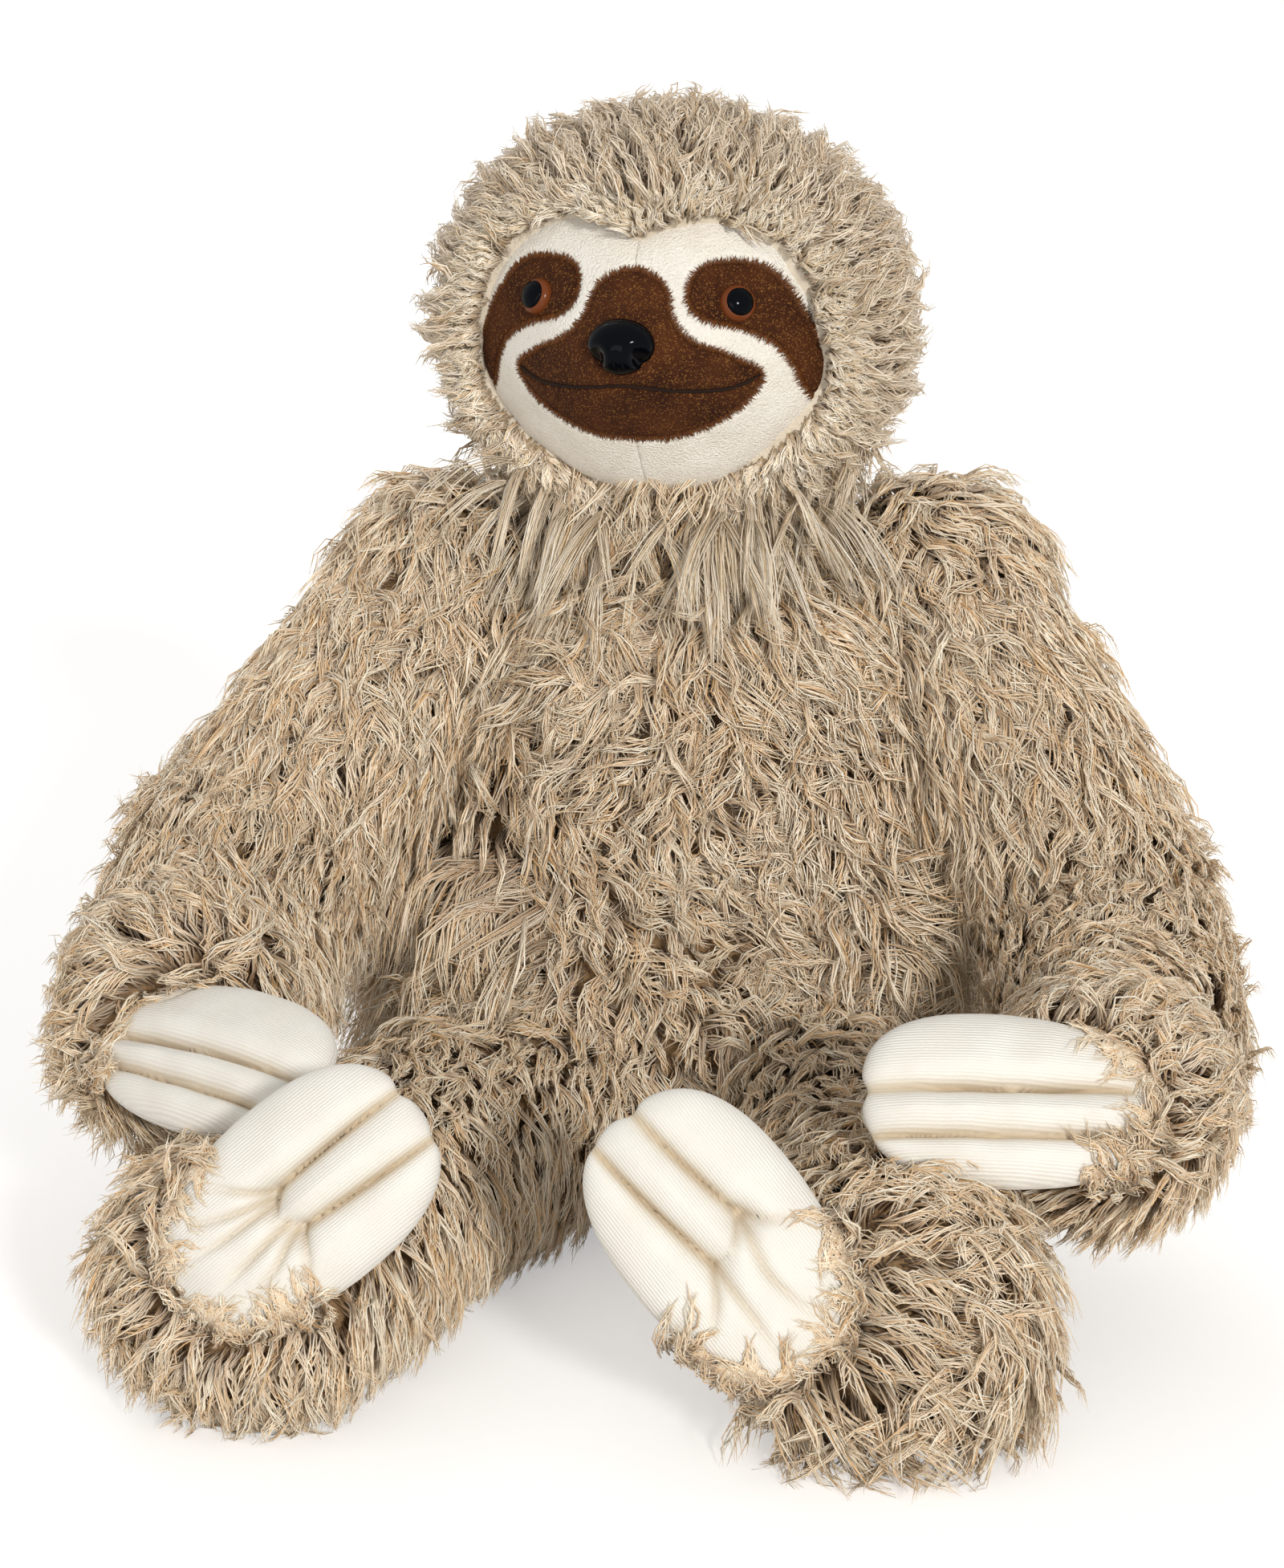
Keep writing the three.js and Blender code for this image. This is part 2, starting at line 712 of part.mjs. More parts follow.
// The mouth: a sewn line that parts the muzzle's two brown panels
const mouthHalf = mouthShares.map(([x, z]) => new THREE.Vector2(x, z).multiplyScalar(faceHalfWidth));
const mouthOtherHalf = mouthHalf.slice(1).reverse().map(({ x, y }) => new THREE.Vector2(-x, y));
const mouthLine = new THREE.SplineCurve([...mouthOtherHalf, ...mouthHalf]).getPoints(mouthSteps);

// The part of the face above the mouth's groove, or below it.
function mouthSide(direction) {
  const groove = direction * (threadRadius + gap);
  const edge = mouthLine.map(({ x, y }) => new THREE.Vector2(x, y + groove));
  const reach = new THREE.Vector2(faceHalfWidth, direction * faceHalfWidth);
  const outline = [
    new THREE.Vector2(-reach.x, edge[0].y), ...edge, new THREE.Vector2(reach.x, edge.at(-1).y),
    reach, new THREE.Vector2(-reach.x, reach.y),
  ];
  return faceCutter(THREE.ShapeUtils.isClockWise(outline) ? outline.reverse() : outline);
}

function mouthThread() {
  const path = mouthLine.slice(1, -1).map(({ x, y }) => {
    return new THREE.Vector3(x, -faceForward(x, y, plushThickness), y);
  });
  const section = new THREE.Shape();
  section.absarc(0, 0, threadRadius, 0, 2 * Math.PI);
  const geometry = new THREE.ExtrudeGeometry(section, {
    extrudePath: new THREE.CatmullRomCurve3(path),
    steps: mouthSteps,
    curveSegments: threadSides / 2,
    bevelEnabled: false,
  });
  return solidOf(geometry.applyMatrix4(inHead));
}

// A place on the face's surface, with the direction that it faces.
function facePlace(x, z) {
  const step = plushThickness;
  const slopeX = (faceForward(x + step, z, step) - faceForward(x - step, z, step)) / (2 * step);
  const slopeZ = (faceForward(x, z + step, step) - faceForward(x, z - step, step)) / (2 * step);
  const place = new THREE.Vector3(x, -faceForward(x, z, step), z).applyMatrix4(inHead);
  const facing = new THREE.Vector3(-slopeX, -1, -slopeZ).normalize().applyAxisAngle(up, headTurn);
  return { place, facing };
}

// An egg on a place, its first radius across, its second along the facing, its third up.
function egg({ place, facing }, radii) {
  const sphere = new THREE.SphereGeometry(1, smallSides, eggRings).scale(radii[0], radii[1], radii[2]);
  sphere.applyQuaternion(new THREE.Quaternion().setFromUnitVectors(across.clone().cross(up), facing));
  return solidOf(sphere.translate(place.x, place.y, place.z));
}

// The stem of an eye or nose, or the hole or pocket for it.
function stem({ place, facing }, radius, length) {
  const start = place.clone().addScaledVector(facing, -length);
  return rod(start, facing, radius, length + eyeBulge / 2);
}

// The push-on washer that holds a stem behind the face.
function washer({ place, facing }) {
  const start = place.clone().addScaledVector(facing, -plushThickness - washerThickness - washerDepth);
  const ring = rod(start, facing, washerRadius, washerThickness);
  return ring.subtract(rod(place.clone().addScaledVector(facing, -stemLength), facing, stemRadius + gap, stemLength));
}

// Assembly
const toy = new THREE.Group();
const neckGroup = groupAt(toy, neckPivot);
const headGroup = groupAt(neckGroup, headCentre);
headGroup.rotation.z = headTurn;
headGroup.updateWorldMatrix(true, false);

function addTorso() {
  const hollows = Object.keys(sides).flatMap((side) => [
    ballSocket(shoulderOf(side), shoulderAxis, shoulderRadius),
    hipSocket(side),
  ]);
  const cut = (solid) => hollows.reduce((rest, hollow) => rest.subtract(hollow), solid).subtract(collarHole());
  const aboveFloor = halfSpace(new THREE.Vector3(), up);
  const cover = torsoForm(0).intersect(aboveFloor).subtract(torsoForm(furThickness));
  piece(toy, 'torso_cover', cut(cover), colours.fur);
  piece(toy, 'torso_filling', cut(torsoForm(furThickness + gap)), colours.filling);
}

function addNeck() {
  const openBase = neckBase.clone().addScaledVector(up, -furThickness);
  const cover = neckForm(0, neckBase).subtract(neckForm(furThickness, openBase));
  piece(neckGroup, 'neck_cover', cover, colours.fur);
  piece(neckGroup, 'neck_filling', neckForm(furThickness + gap, neckBase), colours.filling);
}

function addHead() {
  const neckHollow = ballSocket(neckPivot, nodAxis, neckRadius);
  const skin = headForm(0);
  const fur = headForm(furThickness).subtract(skin).subtract(faceCutter(faceOutline, gap));
  piece(headGroup, 'head_cover', fur.subtract(neckHollow), colours.headFur);

  const eyes = { left: facePlace(-eyeAside, eyeUp), right: facePlace(eyeAside, eyeUp) };
  const nose = facePlace(0, noseUp);
  const fittings = [eyes.left, eyes.right, nose];
  const pocket = (solid, place) => solid.subtract(stem(place, washerRadius + gap, stemLength + gap));
  const filling = fittings.reduce(pocket, headForm(-gap).subtract(neckHollow));
  piece(headGroup, 'head_filling', filling, colours.filling);

  const holed = (solid, place) => solid.subtract(stem(place, stemRadius + gap, stemLength));
  const face = fittings.reduce(holed, headForm(plushThickness).subtract(skin).subtract(neckHollow));
  const panel = face.intersect(faceCutter(faceOutline));
  const muzzle = face.intersect(faceCutter(muzzleOutline));
  piece(headGroup, 'muzzle_upper', muzzle.intersect(mouthSide(1)), colours.brownPlush);
  piece(headGroup, 'muzzle_lower', muzzle.intersect(mouthSide(-1)), colours.brownPlush);
  piece(headGroup, 'mouth_thread', mouthThread(), colours.thread);

  const seamSide = across.clone().applyAxisAngle(up, headTurn);
  for (const side of Object.keys(sides)) {
    const { sign } = sides[side];
    const outward = seamSide.clone().multiplyScalar(sign);
    const half = halfSpace(headCentre.clone().addScaledVector(outward, gap / 2), outward);
    const patch = eyePatchOutlines[side];
    const white = panel.subtract(faceCutter(muzzleOutline, gap)).subtract(faceCutter(patch, gap));
    piece(headGroup, `face_panel_${side}`, white.intersect(half), colours.whitePlush);
    piece(headGroup, `eye_patch_${side}`, panel.intersect(faceCutter(patch)), colours.brownPlush);
    addEye(side, eyes[side]);
  }
  addNose(nose);
}

function addEye(side, place) {
  const surface = headForm(plushThickness + gap);
  const middle = place.place.clone().addScaledVector(place.facing, -eyeBulge);
  const pupilBore = (radius) => rod(middle, place.facing, radius, 3 * eyeBulge);
  const iris = egg(place, [eyeRadius, eyeBulge, eyeRadius]).subtract(pupilBore(pupilRadius + gap));
  piece(headGroup, `eye_ring_${side}`, iris.subtract(surface), colours.iris);
  const dome = egg(place, [eyeRadius, pupilBulge, eyeRadius]).intersect(pupilBore(pupilRadius));
  const pupil = dome.subtract(surface).add(stem(place, stemRadius, stemLength));
  piece(headGroup, `eye_pupil_${side}`, pupil, colours.black);
  piece(headGroup, `eye_washer_${side}`, washer(place), colours.washer);
}

// The nose: a broad cap with a nostril pressed into each lower side.
function addNose(place) {
  const surface = headForm(plushThickness + gap);
  const wide = across.clone().applyAxisAngle(up, headTurn);
  const nostril = (sign) => {
    const middle = place.place.clone()
      .addScaledVector(wide, sign * noseHalfWidth * nostrilAsideShare)
      .addScaledVector(up, -noseHalfHeight * nostrilDropShare)
      .addScaledVector(place.facing, noseBulge * nostrilProudShare);
    return egg({ place: middle, facing: place.facing }, [nostrilRadius, nostrilRadius, nostrilRadius]);
  };
  const cap = egg(place, [noseHalfWidth, noseBulge, noseHalfHeight]).subtract(nostril(-1)).subtract(nostril(1));
  piece(headGroup, 'nose_cap', cap.subtract(surface).add(stem(place, stemRadius, stemLength)), colours.black);
  piece(headGroup, 'nose_washer', washer(place), colours.washer);
}

function addArm(side) {
  const shoulderGroup = groupAt(toy, shoulderOf(side));
  const elbowGroup = groupAt(shoulderGroup, elbowOf(side));
  const { elbow, axis, upperNormal } = creasePlanes(side);
  const flank = torsoForm(-gap).subtract(ball(shoulderOf(side), shoulderAxis, shoulderRadius));
  const crease = halfSpace(elbow.clone().addScaledVector(upperNormal, -gap / 2), upperNormal);
  const elbowHollow = ballSocket(elbow, axis, elbowRadius);
  const cut = (solid) => solid.subtract(flank).subtract(crease).subtract(elbowHollow);
  const upperCover = upperArmForm(side, 0).subtract(upperArmForm(side, furThickness));
  piece(shoulderGroup, `upper_arm_cover_${side}`, cut(upperCover), colours.fur);
  const upperFilling = upperArmForm(side, furThickness + gap);
  piece(shoulderGroup, `upper_arm_filling_${side}`, cut(upperFilling), colours.filling);

  const frame = handFrame(side);
  const wrist = pawForm(frame, -gap);
  const foreCover = forearmForm(side, 0).subtract(forearmForm(side, furThickness)).subtract(wrist);
  piece(elbowGroup, `forearm_cover_${side}`, foreCover, colours.fur);
  const foreFilling = forearmForm(side, furThickness + gap).subtract(wrist);
  piece(elbowGroup, `forearm_filling_${side}`, foreFilling, colours.filling);
  const names = [`hand_palm_${side}`, `hand_back_${side}`, `hand_filling_${side}`];
  pawPieces(elbowGroup, names, frame);
}

function addLeg(side) {
  const { hip, axis } = legFrame(side);
  const legGroup = groupAt(toy, hip);
  const frame = footFrame(side);
  const foot = pawForm(frame, -gap);
  const seamHole = rod(hip.clone().addScaledVector(axis, -legRadius - gap), axis, hipHoleRadius, legRadius, ballSides);
  const aboveFloor = halfSpace(new THREE.Vector3(), up);
  const outer = legForm(side, 0).intersect(aboveFloor);
  const cover = outer.subtract(legForm(side, -furThickness)).subtract(seamHole).subtract(foot);
  piece(legGroup, `leg_cover_${side}`, cover, colours.fur);
  const filling = legForm(side, -furThickness - gap).subtract(foot);
  piece(legGroup, `leg_filling_${side}`, filling, colours.filling);
  pawPieces(legGroup, [`foot_sole_${side}`, `foot_upper_${side}`, `foot_filling_${side}`], frame);
}

addTorso();
addNeck();
addHead();
for (const side of Object.keys(sides)) {
  addArm(side);
  addLeg(side);
}

export default toy;
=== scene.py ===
# %% [markdown]
# # A plush sloth in long fur
# The toy is a stuffed body in a shaggy cover, with a short-plush face and knitted paws.
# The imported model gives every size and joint. The cells below dress it, one kind of cloth at a time.

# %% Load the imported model
import json
import math

import bmesh
import bpy
import numpy as np
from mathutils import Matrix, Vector
from mathutils.bvhtree import BVHTree
from mathutils.geometry import delaunay_2d_cdt
from mathutils.kdtree import KDTree


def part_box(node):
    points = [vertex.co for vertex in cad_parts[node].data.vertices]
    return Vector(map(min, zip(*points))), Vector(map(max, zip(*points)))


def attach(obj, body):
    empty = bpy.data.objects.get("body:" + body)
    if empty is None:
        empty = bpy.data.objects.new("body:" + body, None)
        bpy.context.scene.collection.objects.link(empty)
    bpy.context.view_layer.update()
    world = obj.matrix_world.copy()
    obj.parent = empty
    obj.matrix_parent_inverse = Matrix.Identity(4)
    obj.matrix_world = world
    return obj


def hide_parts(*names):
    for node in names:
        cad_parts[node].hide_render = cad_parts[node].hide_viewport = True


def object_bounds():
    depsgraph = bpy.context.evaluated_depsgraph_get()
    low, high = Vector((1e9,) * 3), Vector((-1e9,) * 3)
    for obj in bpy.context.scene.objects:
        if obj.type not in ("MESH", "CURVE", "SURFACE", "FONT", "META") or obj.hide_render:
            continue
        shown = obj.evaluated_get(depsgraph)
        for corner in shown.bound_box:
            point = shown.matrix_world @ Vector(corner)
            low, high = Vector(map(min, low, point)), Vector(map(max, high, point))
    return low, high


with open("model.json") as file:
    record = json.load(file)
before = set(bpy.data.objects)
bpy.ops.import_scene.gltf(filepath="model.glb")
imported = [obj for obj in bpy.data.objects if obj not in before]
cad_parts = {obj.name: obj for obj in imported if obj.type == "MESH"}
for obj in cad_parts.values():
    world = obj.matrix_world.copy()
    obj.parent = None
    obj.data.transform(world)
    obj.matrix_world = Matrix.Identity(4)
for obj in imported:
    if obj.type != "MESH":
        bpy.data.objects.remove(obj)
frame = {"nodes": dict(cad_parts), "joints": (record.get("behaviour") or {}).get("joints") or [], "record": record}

MM = 0.001
SIDES = ("left", "right")
BODIES = frame["record"]["behaviour"]["bodies"]
JOINTS = {joint["name"]: joint for joint in frame["joints"]}
cad_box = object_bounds()
print("bodies:", ", ".join(BODIES))

# %% [markdown]
# ## Camera
# A product photograph is taken from a little above with a long lens, so the toy hardly narrows with distance.
# The camera is matched to the picture, and it comes first.

# %% Camera
IMAGE_HEIGHT = 1954
FOCAL_PIXELS = 5238
LOOK_AT = Vector((-0.027, 0, 0.212))
CAMERA_DISTANCE = 2.2
CAMERA_RISE = math.radians(15)


def new_object(name, data):
    made = bpy.data.objects.new(name, data)
    bpy.context.scene.collection.objects.link(made)
    return made


def add_camera():
    data = bpy.data.cameras.new("camera")
    data.sensor_fit = "VERTICAL"
    data.sensor_height = 24
    data.lens = data.sensor_height * FOCAL_PIXELS / IMAGE_HEIGHT
    camera = new_object("camera", data)
    backward = Vector((0, -math.cos(CAMERA_RISE), math.sin(CAMERA_RISE)))
    camera.location = LOOK_AT + backward * CAMERA_DISTANCE
    camera.rotation_euler = (math.pi / 2 - CAMERA_RISE, 0, 0)
    bpy.context.scene.camera = camera
    print(f"lens {data.lens:.1f} mm on a {data.sensor_height} mm high sensor")


add_camera()

# %% [markdown]
# ## Lamps and room
# The light is a firm lamp from the front, a little to the right, a soft one from the left, a weak one from
# behind, and a pale room all round. Area lamps would fall off over the floor, so these are suns.
# What the camera sees of the room is plain white, and its light on the toy has a strength of its own.

# %% Lamps
WARM = (1.0, 0.98, 0.945)
COOL = (1.0, 0.99, 0.97)
LAMPS = {
    # name: (strength, softness in degrees, direction that the light comes from, colour)
    "key": (1.76, 7, (0.36, -1.0, 0.38), WARM),
    "fill": (0.78, 40, (-0.4, -1.0, 0.03), COOL),
    "rim": (0.5, 30, (-0.3, 0.9, 0.8), WARM),
}

for name, (strength, softness, source, colour) in LAMPS.items():
    data = bpy.data.lights.new(name, "SUN")
    data.energy = strength
    data.angle = math.radians(softness)
    data.color = colour
    new_object(name, data).rotation_euler = Vector(source).to_track_quat("Z", "Y").to_euler()
print("lamps:", ", ".join(LAMPS))

# %% [markdown]
# Every material and the room are node trees. Built line by line they would hide what they do, so two small
# helpers are enough: one adds a node with its values, the other lists the links.

# %% Short ways to build a node tree
def node_maker(tree):
    """A function that adds a node to the tree, with its settings and the values of its inputs."""
    def make(kind, values=None, **settings):
        node = tree.nodes.new("ShaderNode" + kind)
        for setting, value in settings.items():
            setattr(node, setting, value)
        for socket, value in (values or {}).items():
            node.inputs[socket].default_value = value
        return node

    return make


def join(tree, *links):
    """Links a node's output to another node's input for each (node, output, node, input)."""
    for giver, output, taker, socket in links:
        tree.links.new(giver.outputs[output], taker.inputs[socket])


def seen_directly(tree):
    """A node whose value is 1 for what the camera sees, also through glass or in a reflection."""
    make = node_maker(tree)
    path = make("LightPath")
    direct = make("Math", operation="MAXIMUM")
    seen = make("Math", operation="MAXIMUM")
    join(tree, (path, "Is Camera Ray", direct, 0), (path, "Is Transmission Ray", direct, 1),
         (direct, 0, seen, 0), (path, "Is Glossy Ray", seen, 1))
    return seen


# %% The room
ROOM_COLOUR = (1, 0.98, 0.95, 1)
ROOM_STRENGTH = 0.46


def add_room():
    world = bpy.data.worlds.new("pale_room")
    world.use_nodes = True
    tree = world.node_tree
    tree.nodes.clear()
    make = node_maker(tree)
    room = make("Background", {"Color": ROOM_COLOUR, "Strength": ROOM_STRENGTH})
    white = make("Background", {"Color": (1, 1, 1, 1)})
    mix = make("MixShader")
    join(tree, (seen_directly(tree), 0, mix, "Fac"), (room, 0, mix, 1), (white, 0, mix, 2),
         (mix, 0, make("OutputWorld"), "Surface"))
    bpy.context.scene.world = world
    print("room strength", ROOM_STRENGTH)


add_room()
bpy.context.scene.view_settings.view_transform = "Standard"

# %% [markdown]
# ## Materials
# Each cloth gets one material. Effects that several cloths share, such as the fine mottling of a pile
# or the courses of a knit, are node groups with named inputs, so each cloth sets its own scale.

# %% Groups, materials and colours
def new_group(name, inputs, outputs):
    """A node group with its named sockets, and its input and output nodes."""
    group = bpy.data.node_groups.new(name, "ShaderNodeTree")
    for title, kind, default in inputs:
        socket = group.interface.new_socket(title, in_out="INPUT", socket_type="NodeSocket" + kind)
        socket.default_value = default
    for title, kind in outputs:
        group.interface.new_socket(title, in_out="OUTPUT", socket_type="NodeSocket" + kind)
    return group, group.nodes.new("NodeGroupInput"), group.nodes.new("NodeGroupOutput")


def new_material(name, colour, roughness, shine=None, sheen=None):
    """A material, its node tree and its shader."""
    material = bpy.data.materials.new(name)
    material.use_nodes = True
    shader = material.node_tree.nodes["Principled BSDF"]
    shader.inputs["Base Color"].default_value = (*colour, 1)
    shader.inputs["Roughness"].default_value = roughness
    if shine is not None:
        shader.inputs["Specular IOR Level"].default_value = shine
    if sheen is not None:
        shader.inputs["Sheen Weight"].default_value = sheen
    return material, material.node_tree, shader


def srgb(text):
    """The linear colour of a hexadecimal screen colour."""
    parts = [int(text[k : k + 2], 16) / 255 for k in (0, 2, 4)]
    return tuple(c / 12.92 if c <= 0.04045 else ((c + 0.055) / 1.055) ** 2.4 for c in parts)


def paint(text):
    """The same colour for a socket, which wants an alpha too."""
    return (*srgb(text), 1)


# %% [markdown]
# ## Short plush
# The face is short-pile plush. Its pile is too fine to model hair by hair over whole panels, so a node group
# mottles the colour with soft patches, roughens the surface, and speckles the brown with paler fibre ends.

# %% The mottled pile group
FLECKS_PER_METRE = 1700
FLECK_SHARE = 0.13


def build_pile_group():
    group, source, out = new_group(
        "mottled_pile",
        [
            ("Light Colour", "Color", (0.8, 0.8, 0.8, 1)),
            ("Dark Colour", "Color", (0.5, 0.5, 0.5, 1)),
            ("Patch Scale", "Float", 60.0),
            ("Tuft Scale", "Float", 900.0),
            ("Tuft Height", "Float", 0.0005),
            ("Fleck Colour", "Color", (1, 1, 1, 1)),
            ("Fleck Share", "Float", 0.0),
        ],
        [("Colour", "Color"), ("Normal", "Vector")],
    )
    make = node_maker(group)
    place = make("TexCoord")
    patches = make("TexNoise", {"Detail": 3})
    tufts = make("TexNoise", {"Detail": 2})
    both = make("Math", {1: 0.6}, operation="MULTIPLY_ADD")
    spread = make("MapRange", {"From Min": 0.5, "From Max": 1.15})
    colour = make("Mix", data_type="RGBA")
    grains = make("TexVoronoi", {"Scale": FLECKS_PER_METRE})
    chance = make("SeparateColor")
    chosen = make("Math", operation="LESS_THAN")
    flecked = make("Mix", data_type="RGBA")
    bump = make("Bump")
    join(
        group,
        (place, "Object", patches, "Vector"), (source, "Patch Scale", patches, "Scale"),
        (place, "Object", tufts, "Vector"), (source, "Tuft Scale", tufts, "Scale"),
        (tufts, "Fac", both, 0), (patches, "Fac", both, 2), (both, 0, spread, "Value"),
        (spread, "Result", colour, "Factor"), (source, "Dark Colour", colour, "A"),
        (source, "Light Colour", colour, "B"), (place, "Object", grains, "Vector"),
        (grains, "Color", chance, "Color"), (chance, "Red", chosen, 0), (source, "Fleck Share", chosen, 1),
        (chosen, 0, flecked, "Factor"), (colour, "Result", flecked, "A"),
        (source, "Fleck Colour", flecked, "B"), (flecked, "Result", out, "Colour"),
        (tufts, "Fac", bump, "Height"), (source, "Tuft Height", bump, "Distance"),
        (bump, "Normal", out, "Normal"),
    )
    return group


PILE = build_pile_group()


def pile_material(name, light, dark, roughness, patch_scale, tuft_scale, tuft_height, sheen=0.0, fleck=None):
    material, tree, shader = new_material(name, srgb(light), roughness, 0.2, sheen)
    values = {"Light Colour": paint(light), "Dark Colour": paint(dark), "Patch Scale": patch_scale,
              "Tuft Scale": tuft_scale, "Tuft Height": tuft_height}
    if fleck is not None:
        values.update({"Fleck Colour": paint(fleck), "Fleck Share": FLECK_SHARE})
    pile = node_maker(tree)("Group", values, node_tree=PILE)
    join(tree, (pile, "Colour", shader, "Base Color"), (pile, "Normal", shader, "Normal"))
    return material


white_plush = pile_material("white_plush", "FFFCF5", "F0E9DC", 0.95, 60, 900, 1.3 * MM, 0.2)
brown_plush = pile_material("brown_plush", "613518", "260F05", 0.95, 38, 1000, 1.6 * MM, fleck="80552A")
# The body's backing is darker and browner than the strands: painted shade, the shadow deep in the pile between
# locks.
backing = pile_material("shaded_fur_backing", "A88B68", "7F6243", 1.0, 60, 500, 1.2 * MM)
head_backing = pile_material("head_backing", "E8DECD", "D3C5AF", 1.0, 60, 500, 1.2 * MM)
print("pile materials made")

# %% [markdown]
# The paws are a fine jersey knit. Its ribs run along the fingers, about seven to the centimetre.
# Ribs in the mesh would need millions of faces, so they are a wave across the cloth that only bumps it.
# The wave is broken up by a little noise. A mask that each paw carries paints shade into its seams and
# creases: a darker colour where shadow falls down in them.

# %% The knit
RIBS_PER_METRE = 700
RIB_HEIGHT = 0.2 * MM


def build_knit_group():
    group, source, out = new_group(
        "jersey_ribs",
        [
            ("Light Colour", "Color", (0.9, 0.9, 0.9, 1)),
            ("Dark Colour", "Color", (0.7, 0.7, 0.7, 1)),
            ("Seam Colour", "Color", (0.6, 0.5, 0.4, 1)),
            ("Ribs", "Float", 700.0),
            ("Height", "Float", 0.0003),
        ],
        [("Colour", "Color"), ("Normal", "Vector")],
    )
    make = node_maker(group)
    place = make("UVMap", uv_map="cloth")
    ribs = make("TexWave", {"Distortion": 1.2, "Detail": 1.5, "Detail Scale": 2.0}, bands_direction="X")
    cloud = make("TexNoise", {"Scale": 45, "Detail": 4})
    both = make("Math", {1: 0.35}, operation="MULTIPLY_ADD")
    spread = make("MapRange", {"From Min": 0.35, "From Max": 0.95})
    colour = make("Mix", data_type="RGBA")
    # The tuck mask mixes in the painted shade in the seams and creases.
    tuck = make("Attribute", attribute_name="tuck")
    shaded = make("Mix", data_type="RGBA")
    bump = make("Bump")
    join(
        group,
        (place, "UV", ribs, "Vector"), (source, "Ribs", ribs, "Scale"), (place, "UV", cloud, "Vector"),
        (ribs, "Fac", both, 0), (cloud, "Fac", both, 2), (both, 0, spread, "Value"),
        (spread, "Result", colour, "Factor"), (source, "Dark Colour", colour, "A"),
        (source, "Light Colour", colour, "B"), (tuck, "Fac", shaded, "Factor"),
        (colour, "Result", shaded, "A"), (source, "Seam Colour", shaded, "B"),
        (shaded, "Result", out, "Colour"), (ribs, "Fac", bump, "Height"),
        (source, "Height", bump, "Distance"), (bump, "Normal", out, "Normal"),
    )
    return group


def build_knit_material():
    material, tree, shader = new_material("cream_knit", srgb("FBF3DF"), 0.92, 0.2, 0.2)
    # BFA67C is painted shade, the colour of the seams and creases where shadow falls.
    values = {"Light Colour": paint("F7F5EF"), "Dark Colour": paint("EEE9DF"), "Seam Colour": paint("BFA67C"),
              "Ribs": RIBS_PER_METRE / math.pi, "Height": RIB_HEIGHT}
    knit = node_maker(tree)("Group", values, node_tree=build_knit_group())
    join(tree, (knit, "Colour", shader, "Base Color"), (knit, "Normal", shader, "Normal"))
    return material


cream_knit = build_knit_material()
print("ribs to the metre:", RIBS_PER_METRE)

# %% [markdown]
# ## Mesh helpers
# A stuffed form has no sharp corner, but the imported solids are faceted. A cloth simulation could round them,
# but they'd swell. Remeshing a solid into even squares and smoothing them keeps its size.

# %% Meshes from arrays
def vertex_array(mesh, data="co"):
    """A mesh's points, or its normals, as an array."""
    values = np.empty(len(mesh.vertices) * 3, np.float32)
    mesh.vertices.foreach_get(data, values)
    return values.reshape(-1, 3).astype(float)


def triangle_corners(mesh):
    mesh.calc_loop_triangles()
    corners = np.empty(len(mesh.loop_triangles) * 3, np.int32)
    mesh.loop_triangles.foreach_get("vertices", corners)
    return corners.reshape(-1, 3)


def enclosed_volume(mesh):
    """The volume inside a closed mesh, which is negative where its faces look inwards."""
    points, corners = vertex_array(mesh), triangle_corners(mesh)
    a, b, c = (points[corners[:, k]] for k in range(3))
    return (a * np.cross(b, c)).sum() / 6


def finish_surface(mesh, material):
    """Gives a mesh its one material and lets its faces shade into each other."""
    mesh.materials.clear()
    mesh.materials.append(material)
    mesh.polygons.foreach_set("use_smooth", [True] * len(mesh.polygons))


def add_object(name, vertices, faces, material):
    mesh = bpy.data.meshes.new(name)
    mesh.from_pydata([tuple(v) for v in vertices], [], [tuple(f) for f in faces])
    if enclosed_volume(mesh) < 0:
        mesh.flip_normals()
    finish_surface(mesh, material)
    mesh.update()
    return new_object(name, mesh)


def squares_between(ring, other, sides):
    """The squares that join two rings of points, given the number of each ring's first point."""
    after = [(k + 1) % sides for k in range(sides)]
    return [(ring + k, ring + after[k], other + after[k], other + k) for k in range(sides)]


def unit(vectors):
    return vectors / np.maximum(np.linalg.norm(vectors, axis=-1, keepdims=True), 1e-9)


def share_between(values, low, high):
    """0 up to the low value, 1 from the high one on, and even steps between them."""
    return np.clip((values - low) / (high - low), 0, 1)


def swirl(points, scale, seed, waves=5):
    """A smooth random number about 0 for each point, from a few crossed waves of the given size."""
    rng = np.random.default_rng(seed)
    directions = unit(rng.normal(size=(waves, 3))) * 2 * math.pi / scale
    phases = rng.random(waves) * 2 * math.pi
    return np.sin(points @ directions.T + phases).sum(1) / math.sqrt(waves)


# %% [markdown]
# The cover and filling of each body become one closed skin. It is what shows where the fur parts, and it
# is the ground that the locks are grown on.

# %% Soft skins over the solids
SKIN_SQUARE = 5 * MM
SKIN_SMOOTHING = 12


def soft_skin(name, nodes, material, square=SKIN_SQUARE, smoothing=SKIN_SMOOTHING):
    """One closed skin round the named solids, with their size and none of their facets."""
    joined = bmesh.new()
    for node in nodes:
        joined.from_mesh(frame["nodes"][node].data)
    mesh = bpy.data.meshes.new(name)
    joined.to_mesh(mesh)
    joined.free()
    piece = new_object(name, mesh)
    remesh = piece.modifiers.new("even_squares", "REMESH")
    remesh.mode = "VOXEL"
    remesh.voxel_size = square
    relax = piece.modifiers.new("relax", "SMOOTH")
    relax.iterations = smoothing
    relax.factor = 0.5
    evaluated = piece.evaluated_get(bpy.context.evaluated_depsgraph_get())
    piece.data = bpy.data.meshes.new_from_object(evaluated)
    piece.modifiers.clear()
    finish_surface(piece.data, material)
    print(f"{name}: {len(piece.data.polygons)} squares")
    return piece


